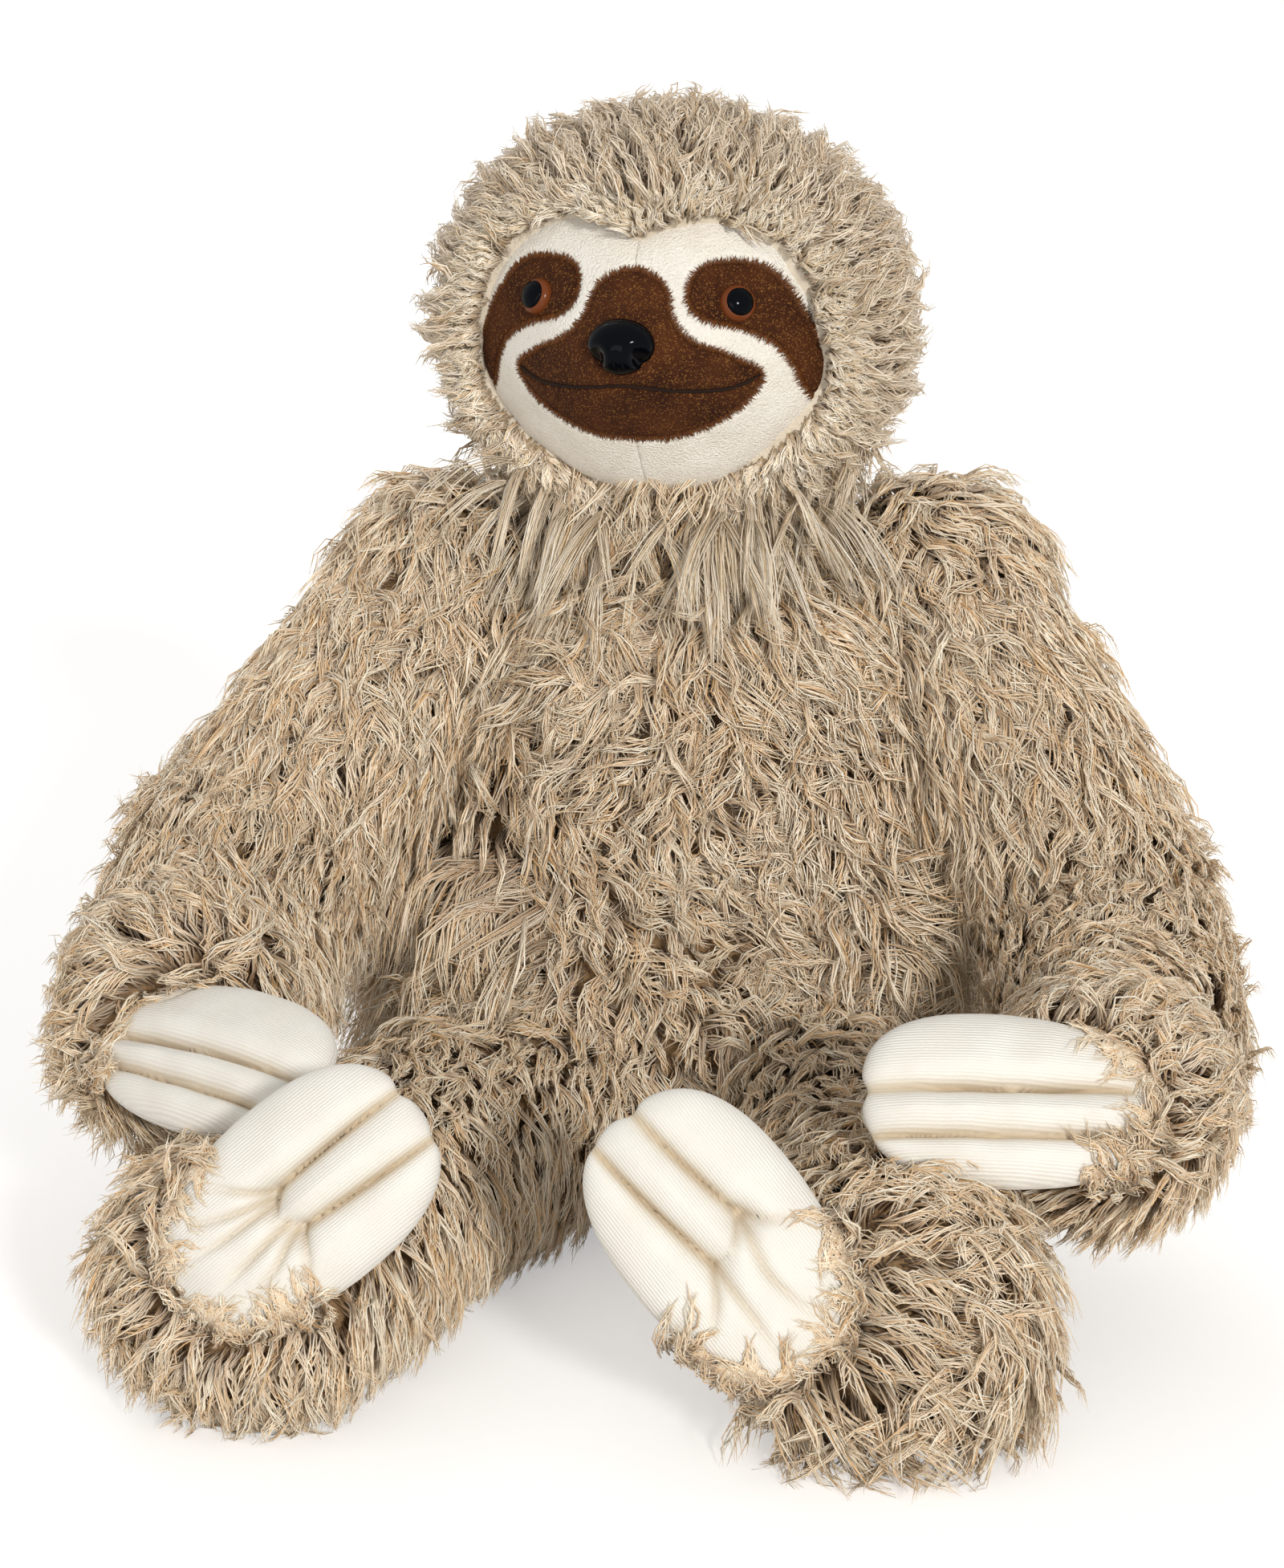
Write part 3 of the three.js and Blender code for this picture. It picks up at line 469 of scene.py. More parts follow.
def stuffed_nodes(body):
    """The cover and the filling of a body, without those of its paw."""
    covers = [n for n in BODIES[body] if n.endswith("cover") or "_cover_" in n]
    fillings = [n for n in BODIES[body] if n.endswith("filling") or "_filling_" in n]
    return covers + [n for n in fillings if not n.startswith(("hand", "foot"))]


skins = {}
for body in BODIES:
    nodes = stuffed_nodes(body)
    skin = soft_skin(f"skin_{body}", nodes, head_backing if body == "head" else backing)
    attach(skin, body)
    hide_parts(*nodes)
    skins[body] = skin

# %% [markdown]
# ## Face
# The face is flat cloth pieces sewn edge to edge over the stuffed head: two white halves, two brown eye
# patches and a brown muzzle in two parts. Each piece rises like a pillow between its seams.
# The outlines are drawn flat, as a pattern maker draws them, then laid on the head's curved front.

# %% The head's front
HEAD_MIDDLE = np.array([-11, -20, 459]) * MM
HEAD_TURN = math.atan2(JOINTS["head_nod"]["axis"][1], JOINTS["head_nod"]["axis"][0])
HEAD_AXES = np.array([
    [math.cos(HEAD_TURN), math.sin(HEAD_TURN), 0], [-math.sin(HEAD_TURN), math.cos(HEAD_TURN), 0], [0, 0, 1],
])
FACE_AHEAD = -HEAD_AXES[1]
HEAD_HALF_WIDTH = 100 * MM
HEAD_FRONT_DEPTH = 84 * MM
CROWN_HEIGHT = 88 * MM
JAW_HEIGHT = 87 * MM
MUZZLE_REACH = 24 * MM
MUZZLE_HALF_WIDTH = 46 * MM
MUZZLE_HALF_HEIGHT = 34 * MM
MUZZLE_DROP = 4 * MM
CHIN_REACH = 7 * MM
CHIN_HEIGHT = -72 * MM
CHIN_HALF_WIDTH = 60 * MM
CHIN_HALF_HEIGHT = 20 * MM
FACE_HALF_WIDTH = 90 * MM
PLUSH = 5 * MM
PLUSH_BACK = 0.4 * MM


def face_forward(flat, grown):
    """How far the head's front lies ahead of its middle, at flat pattern places (x, z)."""
    x, z = flat[:, 0], flat[:, 1]
    half_height = np.where(z > 0, CROWN_HEIGHT, JAW_HEIGHT) + grown
    round_part = 1 - (x / (HEAD_HALF_WIDTH + grown)) ** 2 - (z / half_height) ** 2
    swell = np.exp(-((x / MUZZLE_HALF_WIDTH) ** 2) - ((z + MUZZLE_DROP) / MUZZLE_HALF_HEIGHT) ** 2)
    chin = np.exp(-((x / CHIN_HALF_WIDTH) ** 2) - ((z - CHIN_HEIGHT) / CHIN_HALF_HEIGHT) ** 2)
    dome = (HEAD_FRONT_DEPTH + grown) * np.sqrt(np.maximum(0, round_part))
    return dome + MUZZLE_REACH * swell + CHIN_REACH * chin


def from_head(local):
    """Turns points in the head's own axes to the toy's."""
    return local @ HEAD_AXES + HEAD_MIDDLE


def to_head(points):
    """Turns points in the toy's axes to the head's own."""
    return (points - HEAD_MIDDLE) @ HEAD_AXES.T


def on_face(flat, grown):
    """Points on the head's front when it is grown evenly by a cloth's thickness."""
    return from_head(np.stack([flat[:, 0], -face_forward(flat, grown), flat[:, 1]], 1))


def above_face(flat, heights):
    """Points straight ahead of the bare head's front, at their own heights."""
    return from_head(np.stack([flat[:, 0], -(face_forward(flat, 0) + heights), flat[:, 1]], 1))


# %% [markdown]
# Each outline needs only a few points, because a smooth curve is drawn through them. The face and the muzzle
# are even, so one half of each is enough, and the patch for one eye is the other's mirror image.

# %% The pattern's outlines, as shares of the face's half width
FACE_SHARES = [
    (0, 0.58), (0.12, 0.64), (0.26, 0.675), (0.38, 0.685), (0.55, 0.645), (0.71, 0.56), (0.82, 0.445),
    (0.9, 0.3), (0.965, 0.11), (1, -0.055), (1, -0.21), (0.955, -0.345), (0.865, -0.465), (0.755, -0.58),
    (0.59, -0.7), (0.4, -0.81), (0.2, -0.885), (0, -0.92),
]
MUZZLE_SHARES = [
    (0, 0.417), (0.09, 0.395), (0.17, 0.345), (0.205, 0.285), (0.225, 0.21), (0.28, 0.12), (0.37, 0.045),
    (0.48, -0.005), (0.58, -0.065), (0.665, -0.125), (0.67, -0.18), (0.6, -0.28), (0.5, -0.365),
    (0.37, -0.435), (0.22, -0.485), (0.09, -0.5), (0, -0.5),
]
MOUTH_SHARES = [
    (0, -0.172), (0.15, -0.19), (0.3, -0.211), (0.42, -0.217), (0.52, -0.211), (0.6, -0.185), (0.68, -0.14),
]
EYE_PATCH_SHARES = [
    (0.31, 0.28), (0.315, 0.375), (0.375, 0.435), (0.5, 0.45), (0.63, 0.43), (0.735, 0.36), (0.82, 0.245),
    (0.9, 0.1), (0.97, -0.06), (1.05, -0.14), (1.1, -0.3), (0.98, -0.36), (0.925, -0.33), (0.875, -0.245),
    (0.83, -0.11), (0.745, 0.02), (0.62, 0.1), (0.51, 0.14), (0.41, 0.172), (0.335, 0.23),
]


def smooth_line(points, closed, spacing):
    """A curve through the points (Catmull-Rom), cut to even steps."""
    points = np.array(points, float)
    if closed:
        padded = np.vstack([points[-1], points, points[:2]])
    else:
        padded = np.vstack([2 * points[0] - points[1], points, 2 * points[-1] - points[-2]])
    t = np.linspace(0, 1, 12, endpoint=False)[:, None]
    curve = []
    for p0, p1, p2, p3 in zip(padded, padded[1:], padded[2:], padded[3:]):
        square, cube = 2 * p0 - 5 * p1 + 4 * p2 - p3, 3 * (p1 - p2) + p3 - p0
        curve.append(0.5 * (2 * p1 + (p2 - p0) * t + square * t**2 + cube * t**3))
    curve = np.vstack(curve)
    curve = np.vstack([curve, curve[:1] if closed else points[-1:]])
    travelled = np.concatenate([[0], np.cumsum(np.linalg.norm(np.diff(curve, axis=0), axis=1))])
    count = max(3, round(travelled[-1] / spacing))
    places = np.linspace(0, travelled[-1], count + 1)
    line = np.stack([np.interp(places, travelled, curve[:, k]) for k in range(curve.shape[1])], 1)
    return line[:-1] if closed else line


def both_halves(half):
    return list(half) + [(-x, z) for x, z in reversed(half[1:-1])]


SEAM_STEP = 1.4 * MM


def seam_line(shares, closed=True):
    return smooth_line(shares, closed, SEAM_STEP / FACE_HALF_WIDTH) * FACE_HALF_WIDTH


face_line = seam_line(both_halves(FACE_SHARES))
muzzle_line = seam_line(both_halves(MUZZLE_SHARES))
mouth_line = seam_line([(-x, z) for x, z in MOUTH_SHARES[:0:-1]] + MOUTH_SHARES, False)
patch_lines = {
    side: seam_line([(sign * x, z) for x, z in EYE_PATCH_SHARES]) for side, sign in zip(SIDES, (-1, 1))
}
print("face outline", len(face_line), "points")


# %% [markdown]
# All outlines are cut from one flat net of triangles, so that neighbouring pieces share their edges along a
# seam. Cutting each piece on its own would leave slits between them.

# %% Cut the pattern
PATTERN_STEP = 1.7 * MM
CLEAR_OF_SEAM = 0.9 * MM
BROW_SEAM = (0.7, 0.415)
CHIN_SEAM = (-0.5, -1.0)


def inside_line(points, line):
    """Whether flat points lie inside a closed outline, by counting crossings."""
    x, z = points[:, 0][:, None], points[:, 1][:, None]
    x0, z0 = line[:, 0], line[:, 1]
    x1, z1 = np.roll(x0, -1), np.roll(z0, -1)
    straddles = (z0 > z) != (z1 > z)
    slope = (x1 - x0) / np.where(z1 == z0, 1e-12, z1 - z0)
    return (straddles & (x < x0 + (z - z0) * slope)).sum(1) % 2 == 1


def cut_pattern():
    """One flat triangle net of the whole face, with an edge along every seam."""
    lines = [(line, True) for line in (face_line, muzzle_line, patch_lines["left"], patch_lines["right"])]
    for top, bottom in (BROW_SEAM, CHIN_SEAM):
        ends = np.array([[0, top], [0, bottom]]) * FACE_HALF_WIDTH
        lines.append((smooth_line(ends, False, SEAM_STEP), False))
    lines.append((mouth_line, False))
    points, edges = [], []
    for line, closed in lines:
        start = len(points)
        points.extend(map(tuple, line))
        edges.extend((start + k, start + k + 1) for k in range(len(line) - 1))
        if closed:
            edges.append((len(points) - 1, start))
    seams = KDTree(len(points))
    for k, (x, z) in enumerate(points):
        seams.insert((x, z, 0), k)
    seams.balance()
    reach = 1.02 * FACE_HALF_WIDTH
    rows = np.arange(-reach, reach, PATTERN_STEP)
    grid = np.array([(x + (PATTERN_STEP / 2 if k % 2 else 0), z) for k, z in enumerate(rows) for x in rows])
    grid = grid[inside_line(grid, face_line)]
    points.extend((x, z) for x, z in grid if seams.find((x, z, 0))[2] > CLEAR_OF_SEAM)
    flat, _, triangles, *_ = delaunay_2d_cdt([Vector(p) for p in points], edges, [], 0, 1e-6)
    return np.array([tuple(p) for p in flat]), np.array([tuple(t) for t in triangles])


flat, triangles = cut_pattern()
centres = flat[triangles].mean(1)
on_cloth = inside_line(centres, face_line)
on_muzzle = inside_line(centres, muzzle_line)
mouth_height = np.interp(centres[:, 0], mouth_line[:, 0], mouth_line[:, 1])
above_mouth = centres[:, 1] > mouth_height
on_patch = {side: inside_line(centres, patch_lines[side]) & on_cloth for side in SIDES}
white = on_cloth & ~on_muzzle & ~on_patch["left"] & ~on_patch["right"]
print("pattern triangles:", len(triangles))


# %% [markdown]
# The flat net is laid on the head's front and pushed out by the cloth's thickness, which shrinks near a seam.
# That gives the soft rolled edges of sewn plush. A back and walls close each piece, as a solid must be.

# %% Sew the face
SEAM_WIDTH = 1.7 * MM
SEAM_DEPTH = 1.8 * MM
MIDDLE_SEAM_DEPTH = 0.5 * MM
MIDDLE_SEAM_WIDTH = 2 * SEAM_WIDTH
FACE_CREASE = 0.35 * MM
FACE_CREASE_SIZE = 0.03
FLAT_BY_SEAM = 3 * MM
ON_THE_MIDDLE = 0.1 * MM
FAR_AWAY = 1.0


def border_of(chosen):
    """The edges that only one of the chosen triangles has."""
    sides_of = np.sort(np.vstack([chosen[:, [0, 1]], chosen[:, [1, 2]], chosen[:, [2, 0]]]), 1)
    unique, counts = np.unique(sides_of, axis=0, return_counts=True)
    return unique[counts == 1]


def gap_to(points, border):
    """Distance from each flat point to the nearest of the border's edges."""
    if not len(border):
        return np.full(len(points), FAR_AWAY)
    a, b = flat[border[:, 0]], flat[border[:, 1]]
    span = b - a
    offset = points[:, None] - a
    share = np.clip((offset * span).sum(2) / np.maximum((span**2).sum(1), 1e-12), 0, 1)
    return np.sqrt(((offset - share[..., None] * span) ** 2).sum(2).min(1))


def sewn_panel(name, chosen, material):
    """A closed piece of plush: its front sinks towards its seams, and its back lies on the stuffing."""
    used, inverse = np.unique(chosen, return_inverse=True)
    faces = inverse.reshape(-1, 3)
    border = border_of(chosen)
    central = np.abs(flat[border][:, :, 0]).max(1) < ON_THE_MIDDLE
    distance = gap_to(flat[used], border[~central])
    middle = gap_to(flat[used], border[central])
    creases = FACE_CREASE * swirl(on_face(flat[used], 0), FACE_CREASE_SIZE, 5)
    sunk = SEAM_DEPTH * np.exp(-((distance / SEAM_WIDTH) ** 2))
    sunk = np.maximum(sunk, MIDDLE_SEAM_DEPTH * np.exp(-((middle / MIDDLE_SEAM_WIDTH) ** 2)))
    grown = PLUSH - sunk + creases * (1 - np.exp(-distance / FLAT_BY_SEAM))
    front = above_face(flat[used], grown)
    back = above_face(flat[used], PLUSH_BACK)
    count = len(used)
    a, b, c = front[faces[0, 0]], front[faces[0, 1]], front[faces[0, 2]]
    if np.cross(b - a, c - a) @ FACE_AHEAD < 0:
        faces = faces[:, ::-1]
    place_of = {vertex: k for k, vertex in enumerate(used)}
    directed = {(f[k], f[(k + 1) % 3]) for f in faces for k in range(3)}
    walls = []
    for p, q in border:
        p, q = place_of[p], place_of[q]
        if (p, q) not in directed:
            p, q = q, p
        walls.append((q, p, p + count, q + count))
    all_faces = [tuple(f) for f in faces] + [tuple(f[::-1] + count) for f in faces] + walls
    piece = add_object(name, np.vstack([front, back]), all_faces, material)
    rounded = np.arange(len(all_faces)) < 2 * len(faces)
    piece.data.polygons.foreach_set("use_smooth", rounded)
    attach(piece, "head")
    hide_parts(name.replace("cloth_", ""))
    print(f"{name}: {len(faces)} triangles in front")


for side, sign in zip(SIDES, (-1, 1)):
    half = white & (sign * centres[:, 0] > 0)
    sewn_panel(f"cloth_face_panel_{side}", triangles[half], white_plush)
    sewn_panel(f"cloth_eye_patch_{side}", triangles[on_patch[side]], brown_plush)
for part, chosen in (("upper", above_mouth), ("lower", ~above_mouth)):
    sewn_panel(f"cloth_muzzle_{part}", triangles[on_muzzle & on_cloth & chosen], brown_plush)

# %% [markdown]
# ## Eyes, nose and mouth
# The eyes are safety eyes: a black dome in an amber ring, both of glossy plastic. They are turned parts, so
# a profile turned about the direction that the face looks there gives them, with no modelling by hand.
# The washers behind the cloth stay as packed and only get a material.

# %% Where the eyes and nose sit
def face_place(x, z):
    """A point on the face and the direction that the face looks there."""
    step = PLUSH
    around = np.array([(x, z), (x + step, z), (x - step, z), (x, z + step), (x, z - step)])
    forward = face_forward(around, PLUSH)
    slope_x = (forward[1] - forward[2]) / (2 * step)
    slope_z = (forward[3] - forward[4]) / (2 * step)
    place = on_face(around[:1], PLUSH)[0]
    facing = np.array([-slope_x, -1.0, -slope_z]) @ HEAD_AXES
    return place, facing / np.linalg.norm(facing)


def axes_at(facing):
    """The directions across and up on a piece that faces that way."""
    right = np.cross([0.0, 0.0, 1.0], -facing)
    right /= np.linalg.norm(right)
    return right, np.cross(right, facing)


WEAR_SCALE = 350


def gloss_plastic(name, text, roughness, shine):
    """Plastic whose gloss varies a little, as handled plastic's does."""
    material, tree, shader = new_material(name, srgb(text), roughness, shine)
    make = node_maker(tree)
    place = make("TexCoord")
    wear = make("TexNoise", {"Scale": WEAR_SCALE})
    spread = make("MapRange", {"To Min": roughness * 0.7, "To Max": roughness * 1.4})
    join(tree, (place, "Object", wear, "Vector"), (wear, "Fac", spread, "Value"),
         (spread, "Result", shader, "Roughness"))
    return material


black_gloss = gloss_plastic("black_gloss", "03050A", 0.07, 0.06)
iris_gloss = gloss_plastic("amber_gloss", "703A1B", 0.18, 0.15)
washer_plastic = gloss_plastic("washer_plastic", "E4E1D8", 0.4, 0.5)
for node in ("eye_washer_left", "eye_washer_right", "nose_washer"):
    frame["nodes"][node].data.materials.clear()
    frame["nodes"][node].data.materials.append(washer_plastic)
print("plastics made")

# %% [markdown]
# An eye is two turned pieces: the amber ring, open in the middle, and the black dome that stands in it. Both
# reach a little way into the cloth, so that no gap shows round them.

# %% The eyes
def lathe(name, profile, place, facing, material, steps=48):
    """A round closed body: the profile's [radius, height] points turned about the facing direction."""
    right, upward = axes_at(facing)
    angles = np.linspace(0, 2 * math.pi, steps, endpoint=False)
    rings = []
    for radius, height in profile:
        spokes = np.cos(angles)[:, None] * right + np.sin(angles)[:, None] * upward
        rings.append(place + height * facing + radius * spokes)
    faces = []
    for ring in range(len(profile)):
        faces += squares_between(ring * steps, (ring + 1) % len(profile) * steps, steps)
    piece = add_object(name, np.vstack(rings), faces, material)
    net = bmesh.new()
    net.from_mesh(piece.data)
    bmesh.ops.remove_doubles(net, verts=net.verts, dist=0.01 * MM)
    bmesh.ops.recalc_face_normals(net, faces=net.faces)
    net.to_mesh(piece.data)
    net.free()
    return piece


EYE_ACROSS = 50 * MM
EYE_HEIGHT = 22 * MM
EYE_RADIUS = 9 * MM
EYE_BULGE = 5.6 * MM
PUPIL_RADIUS = 6.7 * MM
PUPIL_BULGE = 6.4 * MM
PUPIL_GAP = 0.15 * MM
EYE_SUNK = 2.5 * MM


def dome(radius, bulge, start, stop, steps):
    """Points of an egg's outline from one radius to another."""
    radii = np.linspace(start, stop, steps)
    return [(r, bulge * math.sqrt(max(0.0, 1 - (r / radius) ** 2))) for r in radii]


for side, sign in zip(SIDES, (-1, 1)):
    place, facing = face_place(sign * EYE_ACROSS, EYE_HEIGHT)
    ring_profile = dome(EYE_RADIUS, EYE_BULGE, PUPIL_RADIUS + PUPIL_GAP, EYE_RADIUS, 9)
    ring_profile += [(EYE_RADIUS, -EYE_SUNK), (PUPIL_RADIUS + PUPIL_GAP, -EYE_SUNK)]
    ring = lathe(f"amber_ring_{side}", ring_profile, place, facing, iris_gloss)
    pupil_profile = dome(EYE_RADIUS, PUPIL_BULGE, 0, PUPIL_RADIUS, 10)
    pupil_profile += [(PUPIL_RADIUS, -EYE_SUNK), (0, -EYE_SUNK)]
    pupil = lathe(f"black_pupil_{side}", pupil_profile, place, facing, black_gloss)
    for piece, node, slot in ((ring, f"eye_ring_{side}", "iris"), (pupil, f"eye_pupil_{side}", "black")):
        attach(piece, "head")
        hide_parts(node)
    print(f"eye at {np.round(place * 1000, 1)} mm")

# %% [markdown]
# The nose is a glossy moulded cap, wider than high, with a nostril pressed into each lower side and a crease
# under its middle. It has no flat face or edge, so it starts as a ball whose points are pushed into place.

# %% The nose
NOSE_HEIGHT = 4 * MM
NOSE_HALF_WIDTH = 16.5 * MM
NOSE_HALF_HEIGHT = 13.5 * MM
NOSE_BULGE = 11.5 * MM
NOSE_SQUARENESS = 0.92
NOSE_NARROWING = 0.16
NOSTRIL_ACROSS = 0.7 * NOSE_HALF_WIDTH
NOSTRIL_DROP = 0.5 * NOSE_HALF_HEIGHT
NOSTRIL_REACH = 4 * MM
NOSTRIL_DEPTH = 6.2 * MM
NOSTRIL_PINCH = 2.2 * MM
NOSE_CREASE_REACH = 1.6 * MM
NOSE_CREASE_DEPTH = 1.6 * MM


def add_nose():
    place, facing = face_place(0, NOSE_HEIGHT)
    right, upward = axes_at(facing)
    ball = bmesh.new()
    bmesh.ops.create_uvsphere(ball, u_segments=72, v_segments=48, radius=1)
    points = np.array([tuple(v.co) for v in ball.verts])
    wide, high, out = points[:, 0], points[:, 1], points[:, 2]
    high = np.sign(high) * np.abs(high) ** NOSE_SQUARENESS
    x = wide * NOSE_HALF_WIDTH * (1 - NOSE_NARROWING * np.clip(-high, 0, 1))
    y = high * NOSE_HALF_HEIGHT
    z = out * NOSE_BULGE
    for sign in (-1, 1):
        gap = np.sqrt((x - sign * NOSTRIL_ACROSS) ** 2 + (y + NOSTRIL_DROP) ** 2)
        press = np.exp(-((gap / NOSTRIL_REACH) ** 2)) * (out > -0.2)
        z -= press * NOSTRIL_DEPTH
        x -= sign * press * NOSTRIL_PINCH
    crease = np.exp(-((x / NOSE_CREASE_REACH) ** 2)) * np.clip(-high - 0.25, 0, 1)
    z -= crease * NOSE_CREASE_DEPTH
    for vertex, a, b, c in zip(ball.verts, x, y, z):
        vertex.co = Vector(place + a * right + b * upward + c * facing)
    mesh = bpy.data.meshes.new("nose")
    ball.to_mesh(mesh)
    ball.free()
    finish_surface(mesh, black_gloss)
    nose = new_object("glossy_nose", mesh)
    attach(nose, "head")
    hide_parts("nose_cap")
    print(f"nose at {np.round(place * 1000, 1)} mm")


add_nose()

# %% [markdown]
# The mouth is a row of dark stitches in the seam between the muzzle's two parts. It's a thread, so a thin
# tube follows the seam, a little thicker at each stitch.

# %% The mouth's thread
THREAD_RADIUS = 0.8 * MM
THREAD_DEPTH = 1.3 * MM
POINTS_TO_A_STITCH = 3


def tube_along(name, line, radii, material, sides=8):
    """A closed tube along a line, with a radius at each of its points."""
    heading = unit(np.gradient(line, axis=0))
    wide = unit(np.cross(heading, np.array([0.0, 0.0, 1.0]) + 0.01))
    deep = np.cross(wide, heading)
    angles = np.linspace(0, 2 * math.pi, sides, endpoint=False)
    rings = line[:, None] + radii[:, None, None] * (
        np.cos(angles)[:, None] * wide[:, None] + np.sin(angles)[:, None] * deep[:, None]
    )
    faces = []
    for row in range(len(line) - 1):
        faces += squares_between(row * sides, (row + 1) * sides, sides)
    faces.append(tuple(range(sides))[::-1])
    faces.append(tuple((len(line) - 1) * sides + k for k in range(sides)))
    return add_object(name, rings.reshape(-1, 3), faces, material)


thread = pile_material("dark_thread", "2A170C", "170B05", 0.8, 200, 2500, 0.1 * MM)
order = np.arange(len(mouth_line))
stitch = 1 + 0.25 * np.abs(np.sin(order * math.pi / POINTS_TO_A_STITCH))
taper = np.clip(np.minimum(order, order[::-1]) / 4, 0.3, 1)
sunk_line = on_face(mouth_line, PLUSH - THREAD_DEPTH)
mouth = tube_along("mouth_stitches", sunk_line, THREAD_RADIUS * stitch * taper, thread)
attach(mouth, "head")
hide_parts("mouth_thread")
print("mouth points:", len(mouth_line))

# %% [markdown]
# ## Paws
# Each paw is a flat knitted bag. Two rows of stitches part it into three fingers, and where the rows end
# the cloth is caught in a tuck, from which small creases run towards the wrist or heel.
# A cloth solver would round the fingers, but it loses narrow seams, so the height is worked out directly:
# a pillow over the outline, less a groove along each seam, plus the creases.

# %% A paw's own axes
def polygon_data(node):
    """The middle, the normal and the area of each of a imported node's polygons."""
    polygons = frame["nodes"][node].data.polygons
    centres = np.array([tuple(polygon.center) for polygon in polygons])
    normals = np.array([tuple(polygon.normal) for polygon in polygons])
    return centres, normals, np.array([polygon.area for polygon in polygons])


def paw_axes(front, back, fingers_go):
    """The paw's middle, its palm, finger and width directions, and its half sizes along them."""
    front_centres, front_normals, front_areas = polygon_data(front)
    back_centres, _, back_areas = polygon_data(back)
    rough = np.average(front_centres, 0, front_areas) - np.average(back_centres, 0, back_areas)
    rough /= np.linalg.norm(rough)
    rim = front_normals @ rough < -0.97
    palm = -(front_normals[rim] * front_areas[rim, None]).sum(0)
    palm /= np.linalg.norm(palm)
    centres = np.vstack([front_centres, back_centres])
    areas = np.concatenate([front_areas, back_areas])
    offsets = centres - np.average(centres, 0, areas)
    offsets -= (offsets @ palm)[:, None] * palm
    spread = (offsets * areas[:, None]).T @ offsets
    finger = np.linalg.eigh(spread)[1][:, -1]
    finger *= np.sign(finger @ np.array(fingers_go))
    wide = np.cross(palm, finger)
    points = np.vstack([vertex_array(frame["nodes"][node].data) for node in (front, back)])
    axes = np.stack([wide, finger, palm])
    places = points @ axes.T
    low, high = places.min(0), places.max(0)
    return ((low + high) / 2) @ axes, axes, (high - low) / 2


# %% [markdown]
# Each paw has its own pattern, because the stuffing pulled every one differently. Seams and creases are lines
# in the paw's own axes: across from -1 to 1, and from the heel at -1 to the finger tips at 1.

# %% The paws' patterns
PAW_PATTERNS = {
    "foot_left": {
        "seams": [[(0.19, 1.05), (0.2, 0.5), (0.19, -0.06)], [(-0.4, 1.05), (-0.34, 0.5), (-0.26, -0.04)]],
        "creases": [
            [(0.19, -0.06), (-0.04, -0.12), (-0.26, -0.04)],
            [(0.19, -0.06), (0.42, -0.2), (0.72, -0.38)],
            [(0.16, -0.1), (0.3, -0.38), (0.5, -0.66)],
            [(0.1, -0.12), (0.12, -0.45), (0.2, -0.8)],
            [(-0.14, -0.1), (-0.2, -0.4), (-0.24, -0.72)],
            [(-0.24, -0.08), (-0.42, -0.3), (-0.5, -0.62)],
            [(-0.26, -0.04), (-0.5, -0.08), (-0.78, -0.22)],
        ],
    },
    "foot_right": {
        "seams": [[(-0.06, 1.05), (-0.14, 0.6), (-0.29, 0.08)], [(0.46, 1.05), (0.36, 0.5), (0.21, -0.08)]],
        "creases": [
            [(-0.29, 0.08), (-0.5, -0.04), (-0.76, -0.16)],
            [(-0.29, 0.08), (-0.16, -0.26), (-0.2, -0.5), (-0.32, -0.84)],
            [(0.21, -0.08), (0.44, -0.26), (0.74, -0.46)],
            [(0.21, -0.08), (0.22, -0.5), (0.26, -0.9)],
            [(-0.29, 0.08), (-0.02, -0.04), (0.21, -0.08)],
        ],
    },
    "hand_left": {
        "seams": [[(-0.06, 1.05), (-0.1, 0.3), (-0.16, -0.75)], [(-0.56, 1.0), (-0.56, 0.3), (-0.56, -0.7)]],
        "creases": [[(0.7, -0.5), (0.5, -0.52), (0.3, -0.6)]],
    },
    "hand_right": {
        "seams": [[(-0.02, 1.05), (-0.05, 0.1), (-0.13, -0.8)], [(0.52, 1.05), (0.47, 0.1), (0.4, -0.8)]],
        "creases": [],
    },
}
print("paws with a pattern:", ", ".join(PAW_PATTERNS))

# %% [markdown]
# The cloth's height is a pillow that falls to nothing at the rim. Each seam presses a groove with round
# shoulders into it, and each crease a narrow fold that fades along its length.

# %% The height of the cloth
LINE_STEP_SHARE = 0.04
RIM_FULLNESS = 2.4
SEAM_END = (0.75, 1)
SEAM_END_LOSS = 0.3
SEAM_SHADE = 0.75
CREASE_SHADE = 0.6
DEPTH_SHARE = 1.04
SEAM_REACH = 13.5 * MM
SEAM_DEPTH_SHARE = 0.86
SEAM_SHADE_REACH = 2.6 * MM
CREASE_REACH = 4.2 * MM
CREASE_DEPTH = 7.5 * MM
LUMP_HEIGHT = 0.5 * MM
LUMP_SIZE = 0.022
PAW_POWER = 2.7
HEEL_NARROWING = 0.1


def distance_and_share(points, line):
    """Each point's distance to a line of points, and how far along the line its nearest place lies."""
    a, b = line[:-1], line[1:]
    span = b - a
    offset = points[:, None] - a
    share = np.clip((offset * span).sum(2) / (span**2).sum(1), 0, 1)
    gaps = np.sqrt(((offset - share[..., None] * span) ** 2).sum(2))
    nearest = gaps.argmin(1)
    rows = np.arange(len(points))
    return gaps[rows, nearest], (nearest + share[rows, nearest]) / len(span)


def paw_rim(angle, half):
    """The paw's outline: a rounded oblong, a little narrower at the heel."""
    cosine, sine = np.cos(angle), np.sin(angle)
    x = np.sign(cosine) * np.abs(cosine) ** (2 / PAW_POWER)
    y = np.sign(sine) * np.abs(sine) ** (2 / PAW_POWER)
    return np.stack([x * (1 - HEEL_NARROWING * np.clip(-y, 0, 1)), y], 1) * half[:2]


def drawn_line(line, half):
    """A seam or crease of the pattern at its real size."""
    return smooth_line(line, False, LINE_STEP_SHARE) * half[:2]


